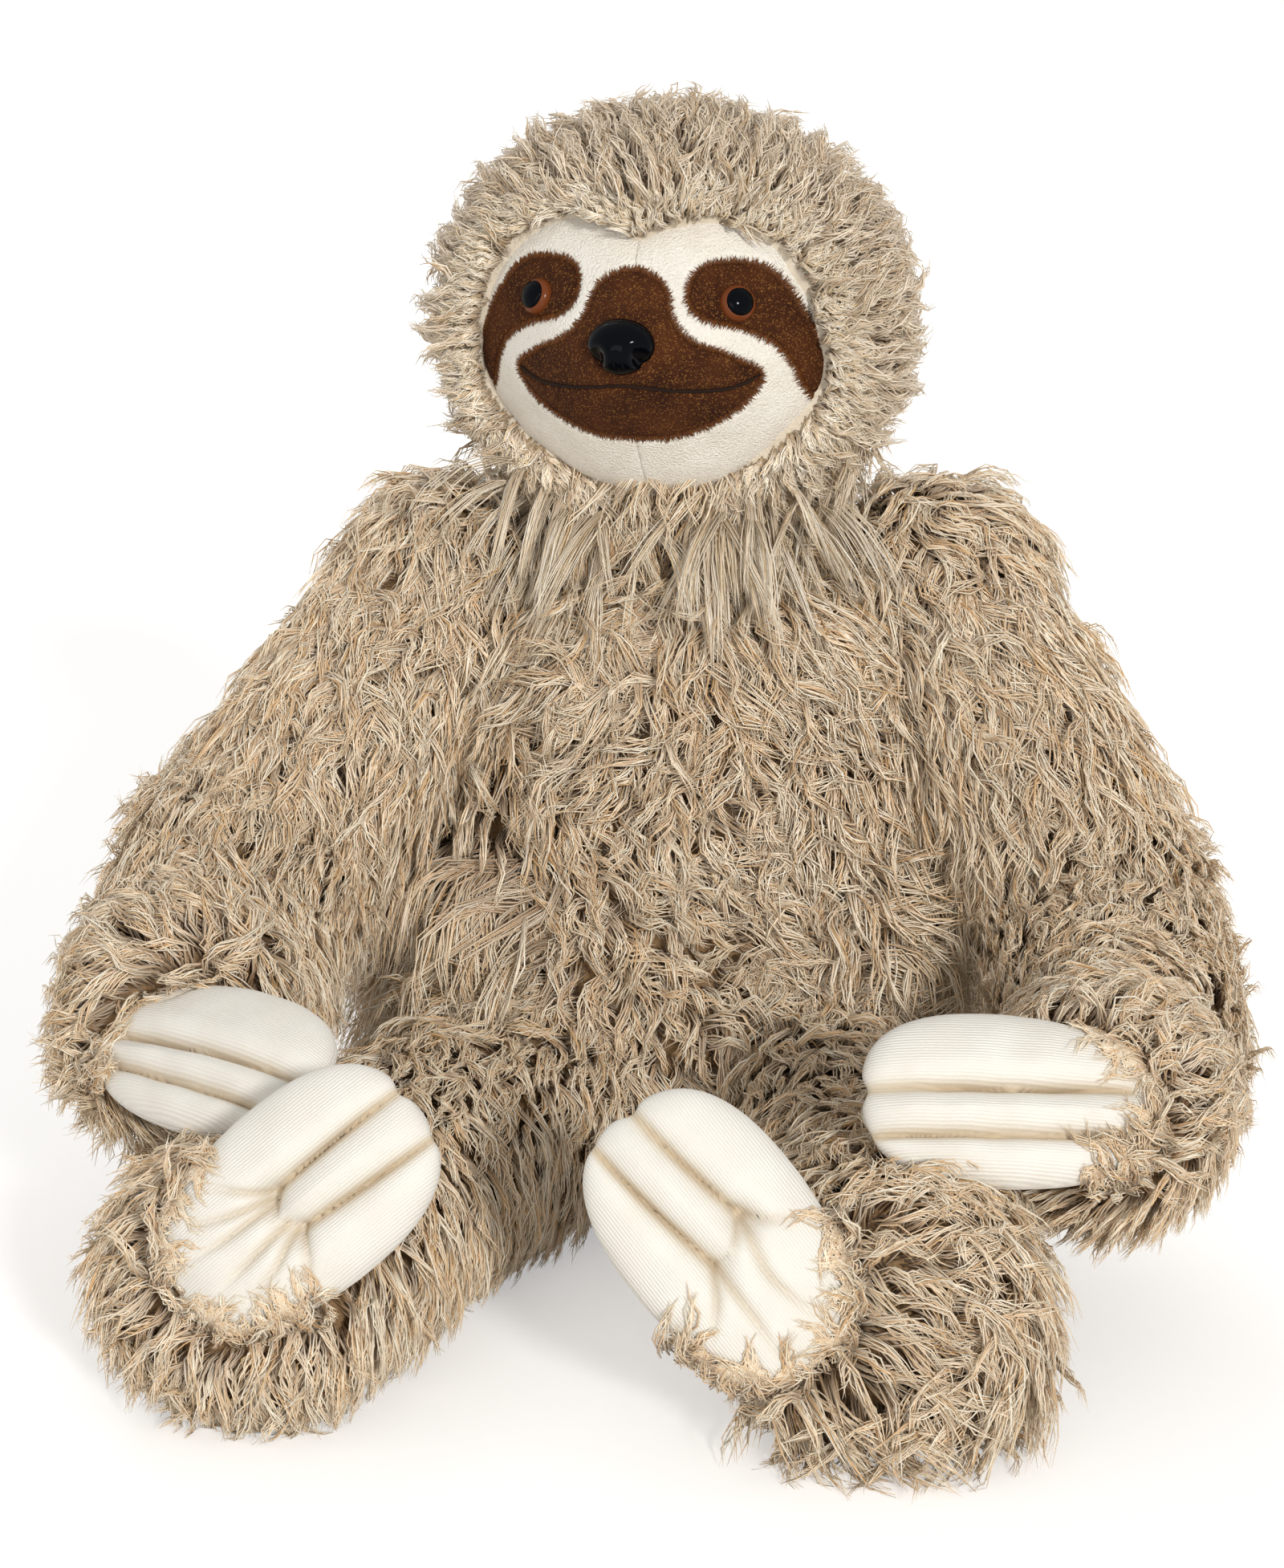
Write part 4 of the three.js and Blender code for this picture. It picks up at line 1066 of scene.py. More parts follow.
def paw_height(places, shares, half, pattern, seed):
    """The height of the cloth over the paw's middle plane, at places across and along it."""
    rim = np.clip(1 - shares**RIM_FULLNESS, 0, 1) ** 0.5
    height = half[2] * DEPTH_SHARE * rim
    groove = np.zeros(len(places))
    for seam in pattern["seams"]:
        gap, along = distance_and_share(places, drawn_line(seam, half))
        bulge = np.sqrt(1 - (1 - np.clip(gap / SEAM_REACH, 0, 1)) ** 2)
        fade = 1 - SEAM_END_LOSS * share_between(along, *SEAM_END)
        groove = np.maximum(groove, SEAM_DEPTH_SHARE * fade * (1 - bulge))
    height *= 1 - groove
    for crease in pattern["creases"]:
        gap, along = distance_and_share(places, drawn_line(crease, half))
        fold = np.exp(-gap / CREASE_REACH * (1 + 2 * along))
        height -= CREASE_DEPTH * (1 - along) ** 0.7 * fold * rim
    lumps = LUMP_HEIGHT * swirl(np.column_stack([places, np.zeros(len(places))]), LUMP_SIZE, seed)
    return height + lumps * rim


def seam_shade(places, half, pattern):
    """How far the cloth is tucked in, from 0 to 1, for the painted shade: a darker colour down in the seams and
    creases.
    """
    shade = np.zeros(len(places))
    for seam in pattern["seams"]:
        gap, _ = distance_and_share(places, drawn_line(seam, half))
        shade = np.maximum(shade, SEAM_SHADE * np.exp(-((gap / SEAM_SHADE_REACH) ** 2)))
    for crease in pattern["creases"]:
        gap, along = distance_and_share(places, drawn_line(crease, half))
        near = np.exp(-((gap / SEAM_SHADE_REACH) ** 2))
        shade = np.maximum(shade, CREASE_SHADE * (1 - along) * near)
    return shade


def paw_faces(spokes, rings, count):
    """A round net of a fan and rings of squares, the same net behind it, and the wall between their rims."""
    sheet, walls = [], []
    last = 1 + (rings - 2) * spokes
    for k in range(spokes):
        after = (k + 1) % spokes
        sheet.append((0, 1 + k, 1 + after))
        for ring in range(rings - 2):
            a, b = 1 + ring * spokes + k, 1 + ring * spokes + after
            sheet.append((a, a + spokes, b + spokes, b))
        walls.append((last + k, last + k + count, last + after + count, last + after))
    return sheet + [tuple(v + count for v in face[::-1]) for face in sheet] + walls


# %% [markdown]
# The two halves of a paw meet in one rim. Each half is a closed sheet with its own thin inside, so that it
# stays a solid from every side.

# %% Sew the paws
PAW_PARTS = {
    # paw: (front, back, body that carries it, where the left one's fingers point)
    "hand": ("palm", "back", "forearm", (1, 0, 0)),
    "foot": ("sole", "upper", "leg", (0, 0, 1)),
}
RIM_STEPS = 220
PAW_RINGS = 44
NOTCH_REACH = 5 * MM
NOTCH_SHARE = 0.07
THINNEST_PAW = 0.1 * MM
INNER_SHARE = 0.985
INNER_HEIGHT = 0.05 * MM


def knitted_paw(kind, side, sign, seed):
    """Both halves of a paw: the palm or sole with its creases, and the half behind it."""
    name = f"{kind}_{side}"
    front_part, back_part, limb, fingers_go = PAW_PARTS[kind]
    front, back = f"{kind}_{front_part}_{side}", f"{kind}_{back_part}_{side}"
    pattern = PAW_PATTERNS[name]
    middle, axes, half = paw_axes(front, back, fingers_go * np.array([-sign, 1, 1]))
    rim = paw_rim(np.linspace(0, 2 * math.pi, RIM_STEPS, endpoint=False), half)
    notch = np.zeros(RIM_STEPS)
    for seam in pattern["seams"]:
        tip = np.array(seam[0]) * half[:2]
        notch += np.exp(-((np.linalg.norm(rim - tip, axis=1) / NOTCH_REACH) ** 2))
    rim *= (1 - NOTCH_SHARE * notch)[:, None]
    shares = np.sin(np.linspace(0, math.pi / 2, PAW_RINGS))
    places = np.vstack([[[0, 0]], (shares[1:, None, None] * rim).reshape(-1, 2)])
    ring_share = np.concatenate([[0], np.repeat(shares[1:], RIM_STEPS)])
    shade = seam_shade(places, half, pattern)
    pieces = []
    for label, facing, node, creases in (("palm", 1, front, pattern["creases"]), ("back", -1, back, [])):
        sewn = {"seams": pattern["seams"], "creases": creases}
        height = paw_height(places, ring_share, half, sewn, seed + (facing < 0))
        outer = np.column_stack([places, facing * np.maximum(height, THINNEST_PAW)])
        inner = np.column_stack([places * INNER_SHARE, np.full(len(places), facing * INNER_HEIGHT)])
        faces = [face[::facing] for face in paw_faces(RIM_STEPS, PAW_RINGS, len(places))]
        vertices = np.vstack([outer, inner]) @ axes + middle
        piece = add_object(f"knit_{name}_{label}", vertices, faces, cream_knit)
        corners = np.empty(len(piece.data.loops), np.int32)
        piece.data.loops.foreach_get("vertex_index", corners)
        flat_places = np.vstack([places, places])[corners].astype(np.float32)
        piece.data.uv_layers.new(name="cloth").data.foreach_set("uv", flat_places.ravel())
        # The tuck mask holds where the painted seam shade goes.
        tuck = piece.data.attributes.new("tuck", "FLOAT", "POINT")
        tuck.data.foreach_set("value", np.concatenate([shade, shade]).astype(np.float32))
        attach(piece, f"{limb}_{side}")
        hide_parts(node, *([f"{kind}_filling_{side}"] if facing < 0 else []))
        pieces.append(piece)
    print(f"{name}: half sizes {np.round(half * 1000, 1)} mm")
    return {"pieces": pieces, "middle": middle, "axes": axes, "half": half}


paws = {}
for number, (side, sign) in enumerate(zip(SIDES, (-1, 1))):
    paws[f"hand_{side}"] = knitted_paw("hand", side, sign, 70 + number)
    paws[f"foot_{side}"] = knitted_paw("foot", side, sign, 80 + number)

# %% [markdown]
# ## Fur
# The cover is a yarn-like pile that clumps into locks. Hair curves would be quick to make, but they aren't
# solid pieces, so each strand here is a thin closed tube with three sides, tapered to its tip.
# Strands are made a lock at a time: they start apart on the skin and close on the lock's curved middle line.
# The strand's own map runs from root to tip up one axis and from strand to strand along the other,
# so the material can darken roots, as painted shade deep in the pile, and tint whole strands.

# %% Fur material
STRAND_COLUMNS = 48
ROOT_SHARE = 0.6
PALER_POWER = 0.7
FUR_ROUGHNESS = 0.3
SHEEN_ROUGHNESS = 0.35
SHEEN_TINT = (1.0, 0.88, 0.7, 1)


def build_strand_group():
    group, source, out = new_group(
        "strand_tint",
        [
            ("Root Colour", "Color", (0.2, 0.2, 0.2, 1)),
            ("Dark Colour", "Color", (0.4, 0.4, 0.4, 1)),
            ("Light Colour", "Color", (0.8, 0.8, 0.8, 1)),
        ],
        [("Colour", "Color")],
    )
    make = node_maker(group)
    place = make("UVMap", uv_map="OFBake")
    split = make("SeparateXYZ")
    column = make("Math", {1: STRAND_COLUMNS}, operation="MULTIPLY")
    whole = make("Math", operation="FLOOR")
    chance = make("TexWhiteNoise", noise_dimensions="1D")
    paler = make("Math", {1: PALER_POWER}, operation="POWER")
    tint = make("Mix", data_type="RGBA")
    # Towards the root the colour darkens: painted shade, where the locks shade each other deep in the pile.
    rise = make("MapRange", {"From Min": 0.0, "From Max": ROOT_SHARE})
    colour = make("Mix", data_type="RGBA")
    join(
        group,
        (place, "UV", split, 0), (split, "X", column, 0), (column, 0, whole, 0), (whole, 0, chance, "W"),
        (chance, "Value", paler, 0), (paler, 0, tint, "Factor"), (source, "Dark Colour", tint, "A"),
        (source, "Light Colour", tint, "B"), (split, "Y", rise, "Value"),
        (rise, "Result", colour, "Factor"), (source, "Root Colour", colour, "A"),
        (tint, "Result", colour, "B"), (colour, "Result", out, "Colour"),
    )
    return group


STRAND_TINT = build_strand_group()


def fur_material(name, root, dark, light, shine=0.8, sheen=0.5):
    material, tree, shader = new_material(name, srgb(light), FUR_ROUGHNESS, shine, sheen)
    shader.inputs["Sheen Roughness"].default_value = SHEEN_ROUGHNESS
    shader.inputs["Sheen Tint"].default_value = SHEEN_TINT
    values = {"Root Colour": paint(root), "Dark Colour": paint(dark), "Light Colour": paint(light)}
    tint = node_maker(tree)("Group", values, node_tree=STRAND_TINT)
    join(tree, (tint, "Colour", shader, "Base Color"))
    return material


# The first colour of each fur is painted shade at its roots; the other two are the strands' own tones.
body_fur = fur_material("body_fur", "7E562D", "E2B77F", "FFF8E6")
head_fur = fur_material("head_fur", "7E5F3C", "C5A67C", "FFF3E0")
ruff_fur = fur_material("ruff_fur", "9C7B50", "E6CA9F", "FFFAEE")
print("fur materials made")

# %% [markdown]
# Locks stand evenly on the real backing, row by row. Here their roots are spread by area over the skin's
# triangles. A scattering by chance alone would leave bald spots, so the steps along the area are even.

# %% Where strands start
def spread_on(skin, count, rng):
    """Roots spread evenly over a skin, with the skin's normal at each."""
    corners = triangle_corners(skin.data)
    points, normals = vertex_array(skin.data), vertex_array(skin.data, "normal")
    a, b, c = (points[corners[:, k]] for k in range(3))
    areas = np.linalg.norm(np.cross(b - a, c - a), axis=1) / 2
    steps = (np.arange(count) + rng.random(count)) / count * areas.sum()
    chosen = np.minimum(np.searchsorted(np.cumsum(areas), steps), len(areas) - 1)
    first = np.sqrt(rng.random((count, 1)))
    second = rng.random((count, 1))
    weights = np.hstack([1 - first, first * (1 - second), first * second])
    corner_points = points[corners[chosen]]
    corner_normals = normals[corners[chosen]]
    roots = (corner_points * weights[:, :, None]).sum(1)
    return roots, unit((corner_normals * weights[:, :, None]).sum(1))


def inside_depth(tree, points, reach):
    """How deep each point lies inside a closed surface, and 0 or less outside it."""
    depths = np.full(len(points), -reach)
    for k, point in enumerate(points):
        place, normal, _, distance = tree.find_nearest(Vector(point), reach)
        if place is not None:
            depths[k] = distance if (Vector(point) - place).dot(normal) < 0 else -distance
    return depths


# %% [markdown]
# A lock is first one curved line. It rises from the skin, lies down as it's combed, sways and droops.
# Then it's split into strands that start apart and close towards its tip, as the clumped pile does.

# %% How a lock bends
STATIONS = 6
STRAND_PROFILE = np.array([0.8, 1.0, 1.0, 0.93, 0.7, 0.12])
STRAND_RADIUS = 0.54 * MM


def lock_lines(roots, normals, comb, length, lift, curl, droop, rng):
    """The middle line of each lock: it leaves the skin at the lift angle, lies down as combed, and droops."""
    along = unit(comb - (comb * normals).sum(1, keepdims=True) * normals)
    side = np.cross(normals, along)
    phase = rng.random(len(roots)) * 2 * math.pi
    turns = 0.5 + 0.6 * rng.random(len(roots))
    points = [roots]
    for k in range(STATIONS - 1):
        place = k / (STATIONS - 1)
        rise = lift * (1 - place) ** 1.2
        sway = curl * np.sin(2 * math.pi * turns * place + phase)
        heading = np.cos(rise)[:, None] * (np.cos(sway)[:, None] * along + np.sin(sway)[:, None] * side)
        heading += np.sin(rise)[:, None] * normals
        into_skin = np.minimum(-normals[:, 2:], 0) * normals
        heading = unit(heading + droop * place * (np.array([0, 0, -1.0]) - (1 - place) * into_skin))
        points.append(points[-1] + heading * (length / (STATIONS - 1))[:, None])
    return np.stack(points, 1), along, side


def strand_lines(lines, along, side, normals, width, rng, per_lock, wave, close=0.8):
    """Splits each lock into strands that start apart and close on its middle line."""
    locks = len(lines)
    place = np.linspace(0, 1, STATIONS)
    angle = rng.random((locks, per_lock)) * 2 * math.pi
    spread = np.sqrt(rng.random((locks, per_lock))) * width[:, None]
    start = (np.cos(angle) * spread)[..., None] * along[:, None]
    start += (np.sin(angle) * spread)[..., None] * side[:, None]
    closing = 1 - close * place**0.9
    share = 0.72 + 0.38 * rng.random((locks, per_lock, 1, 1))
    strands = lines[:, None, :1] + (lines[:, None] - lines[:, None, :1]) * share
    strands = strands + start[:, :, None] * closing[:, None]
    phase = rng.random((locks, per_lock, 1)) * 2 * math.pi
    turns = 0.8 + 1.1 * rng.random((locks, per_lock, 1))
    reach = wave * (0.4 + 1.2 * rng.random((locks, per_lock, 1))) * place**0.8
    turned = 2 * math.pi * turns * place + phase
    strands += (reach * np.sin(turned))[..., None] * side[:, None, None]
    strands += (reach * 0.6 * np.cos(turned))[..., None] * normals[:, None, None]
    return strands.reshape(-1, STATIONS, 3), np.repeat(normals, per_lock, 0)


# %% [markdown]
# Each strand becomes a tube with closed ends. Its points, corners and map are worked out for all strands at
# once and handed over as whole arrays, because so many strands would take hours to add one at a time.

# %% Strands as closed tubes
TUBE_SIDES = 3
FLOOR_CLEARANCE = 0.8 * MM


def strand_object(name, strands, normals, material, radius, rng):
    """One mesh of closed tubes, with a map from root to tip and from strand to strand."""
    count = len(strands)
    heading = unit(np.gradient(strands, axis=1))
    wide = unit(np.cross(heading, normals[:, None]))
    deep = np.cross(wide, heading)
    thickness = radius * (0.75 + 0.5 * rng.random((count, 1))) * STRAND_PROFILE
    vertices = np.empty((count, STATIONS, TUBE_SIDES, 3))
    for k in range(TUBE_SIDES):
        angle = 2 * math.pi * k / TUBE_SIDES + math.pi / 2
        offset = math.cos(angle) * wide + 0.8 * math.sin(angle) * deep
        vertices[:, :, k] = strands + thickness[..., None] * offset
    vertices = vertices.reshape(-1, 3)
    vertices[:, 2] = np.maximum(vertices[:, 2], FLOOR_CLEARANCE + radius * rng.random(len(vertices)))
    ring = np.arange(TUBE_SIDES)
    following = (ring + 1) % TUBE_SIDES
    rows = np.arange(STATIONS - 1)[:, None] * TUBE_SIDES
    next_rows = rows + TUBE_SIDES
    quads = np.stack([rows + ring, rows + following, next_rows + following, next_rows + ring], -1)
    quads = quads.reshape(-1, 4)
    base = (np.arange(count) * STATIONS * TUBE_SIDES)[:, None]
    quad_corners = (base[:, :, None] + quads).reshape(-1)
    caps = np.concatenate([ring[::-1], (STATIONS - 1) * TUBE_SIDES + ring])
    cap_corners = (base + caps).reshape(-1)
    column = np.floor(rng.random(count) * STRAND_COLUMNS)
    across = np.array([0.2, 0.5, 0.8])
    station = np.linspace(0.02, 0.98, STATIONS)
    grid = np.empty((count, STATIONS, TUBE_SIDES, 2))
    grid[..., 0] = (column[:, None, None] + across) / STRAND_COLUMNS
    grid[..., 1] = station[:, None]
    grid = grid.reshape(-1, 2)
    corners = np.concatenate([quad_corners, cap_corners]).astype(np.int32)
    quad_count, cap_count = len(quad_corners) // 4, len(cap_corners) // 3
    mesh = bpy.data.meshes.new(name)
    mesh.vertices.add(len(vertices))
    mesh.vertices.foreach_set("co", vertices.astype(np.float32).ravel())
    mesh.loops.add(len(corners))
    mesh.loops.foreach_set("vertex_index", corners)
    mesh.polygons.add(quad_count + cap_count)
    starts = np.concatenate([np.arange(quad_count) * 4, quad_count * 4 + np.arange(cap_count) * 3])
    mesh.polygons.foreach_set("loop_start", starts.astype(np.int32))
    mesh.polygons.foreach_set("use_smooth", np.ones(quad_count + cap_count, bool))
    mesh.uv_layers.new(name="OFBake").data.foreach_set("uv", grid[corners].astype(np.float32).ravel())
    mesh.materials.append(material)
    mesh.update(calc_edges=True)
    mesh.validate()
    print(f"{name}: {count} strands, {len(mesh.polygons)} faces")
    return new_object(name, mesh)


# %% [markdown]
# Fur is combed. Over the limbs it runs towards the paws, over the body it falls and swirls,
# and round the face it runs outwards, which frames the short plush.
# A comb here is a function that gives each root its direction, so one way of growing serves all the fur.
# Locks that would grow into a paw are shortened until they only reach it.

# %% Combing
FACING_PAW = (0.15, 0.65)
UNDER_PAW_SHARE = 0.72
CLEAR_OF_PAW_SHARE = 2.2
PAW_END_REACH = 1.6


def towards(point):
    return lambda roots, normals: unit(np.array(point) - roots)


def straight(direction):
    return lambda roots, normals: np.tile(unit(np.array(direction, float)), (len(roots), 1))


def turned_by(comb, normals, angles):
    """Turns each comb direction about the skin's normal."""
    cosine, sine = np.cos(angles)[:, None], np.sin(angles)[:, None]
    return comb * cosine + np.cross(normals, comb) * sine


def centre_of(*nodes):
    lows, highs = zip(*(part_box(node) for node in nodes))
    low = np.min([tuple(v) for v in lows], 0)
    high = np.max([tuple(v) for v in highs], 0)
    return (low + high) / 2


def joint_place(name):
    return np.array(JOINTS[name]["pos_m"], float)


def tree_of(piece):
    mesh = piece.data
    return BVHTree.FromPolygons([v.co for v in mesh.vertices], [tuple(p.vertices) for p in mesh.polygons])


trees = {body: tree_of(skin) for body, skin in skins.items()}
paw_trees = {name: [tree_of(piece) for piece in paw["pieces"]] for name, paw in paws.items()}


def round_paw(name, comb):
    """Combs like the limb on its sides, and away from the paw's middle on the end that the paw lies on."""
    paw = paws[name]

    def combing(roots, normals):
        palm = paw["axes"][2]
        offset = roots - paw["middle"]
        away = unit(offset - (offset @ palm)[:, None] * palm)
        near = np.linalg.norm(offset, axis=1) < PAW_END_REACH * paw["half"][1]
        share = share_between(normals @ palm, *FACING_PAW) * near
        return unit(comb(roots, normals) * (1 - share)[:, None] + away * share[:, None])

    return combing


def clear_of_paw(name):
    """Leaves out the roots that lie well under the paw."""
    paw = paws[name]

    def keep(roots, normals):
        places = (roots - paw["middle"]) @ paw["axes"].T / paw["half"]
        beside = (places[:, 0] ** 2 + places[:, 1] ** 2) > UNDER_PAW_SHARE
        return beside | (np.abs(places[:, 2]) > CLEAR_OF_PAW_SHARE)

    return keep

# %% [markdown]
# Growing is one function for the whole coat. It leaves out roots that are buried in another body, bends and
# combs the locks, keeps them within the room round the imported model, and stops them at the paws.

# %% Growing the fur
ROOM_ROUND_MODEL = 21 * MM
LOWEST_ROOT = 9 * MM
BURIED_ROOT = 14 * MM
BURIED_REACH = 60 * MM
PAW_REACH = 25 * MM
PAW_TOUCH = -1 * MM
SHORTEST_SHARE = 0.3


def kept_in_room(lines):
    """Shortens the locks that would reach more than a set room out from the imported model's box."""
    low, high = (np.array([float(v) for v in corner]) for corner in cad_box)
    reach = lines - lines[:, :1]
    above, below = high - lines[:, :1], lines[:, :1] - low
    room = np.where(reach > 0, above, below) + ROOM_ROUND_MODEL
    share = np.clip(room / np.maximum(np.abs(reach), 0.01 * MM), 0.2, 1).min((1, 2))
    return lines[:, :1] + reach * share[:, None, None]


def add_fur(name, body, count, comb, length, lift, swirl_by, seed, material=body_fur, per_lock=10,
            width=4.6 * MM, curl=0.9, wave=2.2 * MM, swirl_size=0.16, keep=None, radius=STRAND_RADIUS,
            paw=None, droop=0.7, lean=None, uneven=0.2, scatter=0.25, close=0.8):
    """Grows locks on a body's skin. The length, the lift, keep and lean may be functions of the roots."""
    rng = np.random.default_rng(seed)
    roots, normals = spread_on(skins[body], count, rng)
    kept = roots[:, 2] > LOWEST_ROOT
    if keep is not None:
        kept &= keep(roots, normals)
    roots, normals = roots[kept], normals[kept]
    for other, tree in trees.items():
        if other != body:
            kept = inside_depth(tree, roots, BURIED_REACH) < BURIED_ROOT
            roots, normals = roots[kept], normals[kept]
    if lean is not None:
        normals = unit(normals + lean(roots))
    direction = turned_by(comb(roots, normals), normals, swirl_by * swirl(roots, swirl_size, seed))
    direction = unit(direction + scatter * rng.normal(size=direction.shape))
    lengths = np.broadcast_to(length(roots) if callable(length) else length, len(roots)).copy()
    lengths *= 1 - uneven + 2 * uneven * rng.random(len(roots))
    lifts = (lift(roots) if callable(lift) else lift) * (0.7 + 0.6 * rng.random(len(roots)))
    lines, along, side = lock_lines(roots, normals, direction, lengths, lifts, curl, droop, rng)
    lines = kept_in_room(lines)
    for tree in paw_trees.get(paw, ()):
        depth = inside_depth(tree, lines.reshape(-1, 3), PAW_REACH).reshape(len(lines), -1)
        first = np.argmax(depth > PAW_TOUCH, 1)
        hit = (depth > PAW_TOUCH).any(1)
        share = np.where(hit, first / STATIONS, 1.0)
        lines = lines[:, :1] + (lines - lines[:, :1]) * share[:, None, None]
        shown = share > SHORTEST_SHARE
        lines, along, side, normals = lines[shown], along[shown], side[shown], normals[shown]
    widths = width * (0.7 + 0.6 * rng.random(len(lines)))
    strands, strand_normals = strand_lines(lines, along, side, normals, widths, rng, per_lock, wave, close)
    fur = strand_object(name, strands, strand_normals, material, radius, rng)
    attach(fur, body)


# %% [markdown]
# The fur is longest at the flanks, where it fans out between arm and leg, and short where it's pressed: under
# the limbs and over the shoulders. Lengths that differ with the place are functions of the roots, because a
# texture painted for them would have to be stored.

# %% Lengths and lifts on the body and limbs
UPPER_ARM_FUR = 45 * MM
FOREARM_FUR = {"left": 41 * MM, "right": 33 * MM}
FLANK_FUR = {"left": 98 * MM, "right": 66 * MM}
LEG_FUR = 42 * MM
LEG_PRESSED = {"left": 14 * MM, "right": 4 * MM}
HEEL_FUR = {"left": 0, "right": 14 * MM}
TORSO_FUR = 38 * MM
TORSO_TOP_FUR = 22 * MM
TORSO_SIDE_FUR = 26 * MM
SHOULDER_LOSS = 3 * MM
UNDERSIDE_SHARE = 0.6
LIMB_LIFT = 0.62

# Where one length goes over into another: heights above the ground, or widths and depths from the middle
TORSO_SIDES = (60.5 * MM, 170.5 * MM)
TORSO_TOP = (260 * MM, 330 * MM)
TORSO_PRESSED_TOP = (280 * MM, 330 * MM)
FLANK_HEIGHTS = (60 * MM, 200 * MM)
SHOULDER_SHORTER = (220 * MM, 300 * MM)
SHOULDER_FLATTER = (240 * MM, 320 * MM)
FOREARM_UNDERSIDE = (20 * MM, 85 * MM)
LEG_UNDERSIDE = (15 * MM, 70 * MM)
HEEL_HEIGHTS = (50 * MM, 90 * MM)
HEEL_DEPTHS = (330 * MM, 370 * MM)


def height_share(points, heights):
    return share_between(points[:, 2], *heights)


def torso_length(roots):
    side_share = share_between(np.abs(roots[:, 0]), *TORSO_SIDES)
    return TORSO_FUR + TORSO_TOP_FUR * height_share(roots, TORSO_TOP) + TORSO_SIDE_FUR * side_share


def torso_lift(roots):
    return 0.7 - 0.5 * height_share(roots, TORSO_PRESSED_TOP)


def flank_of(sign):
    """Keeps the roots on one side of the body, where the fur fans out between arm and leg."""
    def keep(roots, normals):
        low, high = FLANK_HEIGHTS
        return (sign * normals[:, 0] > 0.55) & (roots[:, 2] > low) & (roots[:, 2] < high)

    return keep


def upper_arm_length(roots):
    return UPPER_ARM_FUR - SHOULDER_LOSS * height_share(roots, SHOULDER_SHORTER)


def upper_arm_lift(roots):
    return LIMB_LIFT - 0.12 * height_share(roots, SHOULDER_FLATTER)


def forearm_length(side):
    """The forearm's fur is shorter underneath, where it's pressed."""
    def length(roots):
        above = height_share(roots, FOREARM_UNDERSIDE)
        return FOREARM_FUR[side] * (UNDERSIDE_SHARE + (1 - UNDERSIDE_SHARE) * above)

    return length


def heel_share(roots):
    """How far roots lie on the low front end of a leg, from 0 to 1."""
    return share_between(-roots[:, 1], *HEEL_DEPTHS) * (1 - height_share(roots, HEEL_HEIGHTS))


def leg_length(side):
    def length(roots):
        pressed = LEG_PRESSED[side] * (1 - height_share(roots, LEG_UNDERSIDE))
        return LEG_FUR - pressed + HEEL_FUR[side] * heel_share(roots)

    return length


def leg_lift(side):
    """The right leg's locks stand up a little more round the heel."""
    return lambda roots: LIMB_LIFT + 0.3 * heel_share(roots) * (side == "right")


# %% Fur on the body and limbs
add_fur("fur_torso", "torso", 5200, straight((0, -0.1, -1)), torso_length, torso_lift, 1.0, 11,
        curl=1.1, uneven=0.32, scatter=0.42)
for side, sign in zip(SIDES, (-1, 1)):
    hand, foot = f"hand_{side}", f"foot_{side}"
    below_elbow = joint_place(f"elbow_bend_{side}") + (0, 0, -0.05)
    foot_middle = centre_of(f"foot_sole_{side}", f"foot_upper_{side}")
    leg_aim = (foot_middle - joint_place(f"hip_roll_{side}")) * (1, 1, 0)
    add_fur(f"fur_flank_{side}", "torso", 4600, straight((sign * 1.3, -0.3, -0.8)), FLANK_FUR[side],
            1.05, 0.4, 15, keep=flank_of(sign), droop=0.25)
    add_fur(f"fur_upper_arm_{side}", f"upper_arm_{side}", 2000, towards(below_elbow), upper_arm_length,
            upper_arm_lift, 0.4, 21, droop=1.0, uneven=0.3, scatter=0.34)
    comb = round_paw(hand, towards(centre_of(f"hand_palm_{side}", f"hand_back_{side}")))
    add_fur(f"fur_forearm_{side}", f"forearm_{side}", 2200, comb, forearm_length(side), 0.65, 0.45, 31,
            curl=0.65, paw=hand, keep=clear_of_paw(hand))
    comb = round_paw(foot, straight(leg_aim + (0, 0, -0.12)))
    add_fur(f"fur_leg_{side}", f"leg_{side}", 2500, comb, leg_length(side), leg_lift(side), 0.5, 41,
            curl=0.65, paw=foot, keep=clear_of_paw(foot))

# %% [markdown]
# Round each wrist and heel the fur falls over the edge of the knit. Fur grown on the limb's skin would come
# out under the paw, so these locks are laid out in the paw's own axes and held above the cloth.

# %% Fur over the paws' edges
CUFF_LOCKS = 120
CUFF_LOCK_WIDTH = 4 * MM
CUFF_STRANDS = 9
CUFF_WAVE = 2.4 * MM
CUFF_DEPTH = 5 * MM
CUFF_INWARD = 1 * MM
CUFF_OUTWARD = 9 * MM
CUFF_SWING = 0.75
CLEAR_OF_CLOTH = 1 * MM
CUFF_ANGLES = {
    # paw: (first angle, last angle, length of the locks), with angles from the thumb side round the tips
    "hand_left": (222, 330, 28 * MM),
    "hand_right": (208, 335, 28 * MM),
    "foot_left": (190, 350, 27 * MM),
    "foot_right": (190, 350, 27 * MM),
}


def held_above(points, paw, pattern):
    """Raises points that lie over a paw's palm until they clear the cloth."""
    shares = (np.abs(points[:, :2] / paw["half"][:2]) ** PAW_POWER).sum(1) ** (1 / PAW_POWER)
    over = shares < 1
    cloth = paw_height(points[over, :2], shares[over], paw["half"], pattern, 0)
    raised = points.copy()
    raised[over, 2] = np.maximum(points[over, 2], cloth + CLEAR_OF_CLOTH)
    return raised


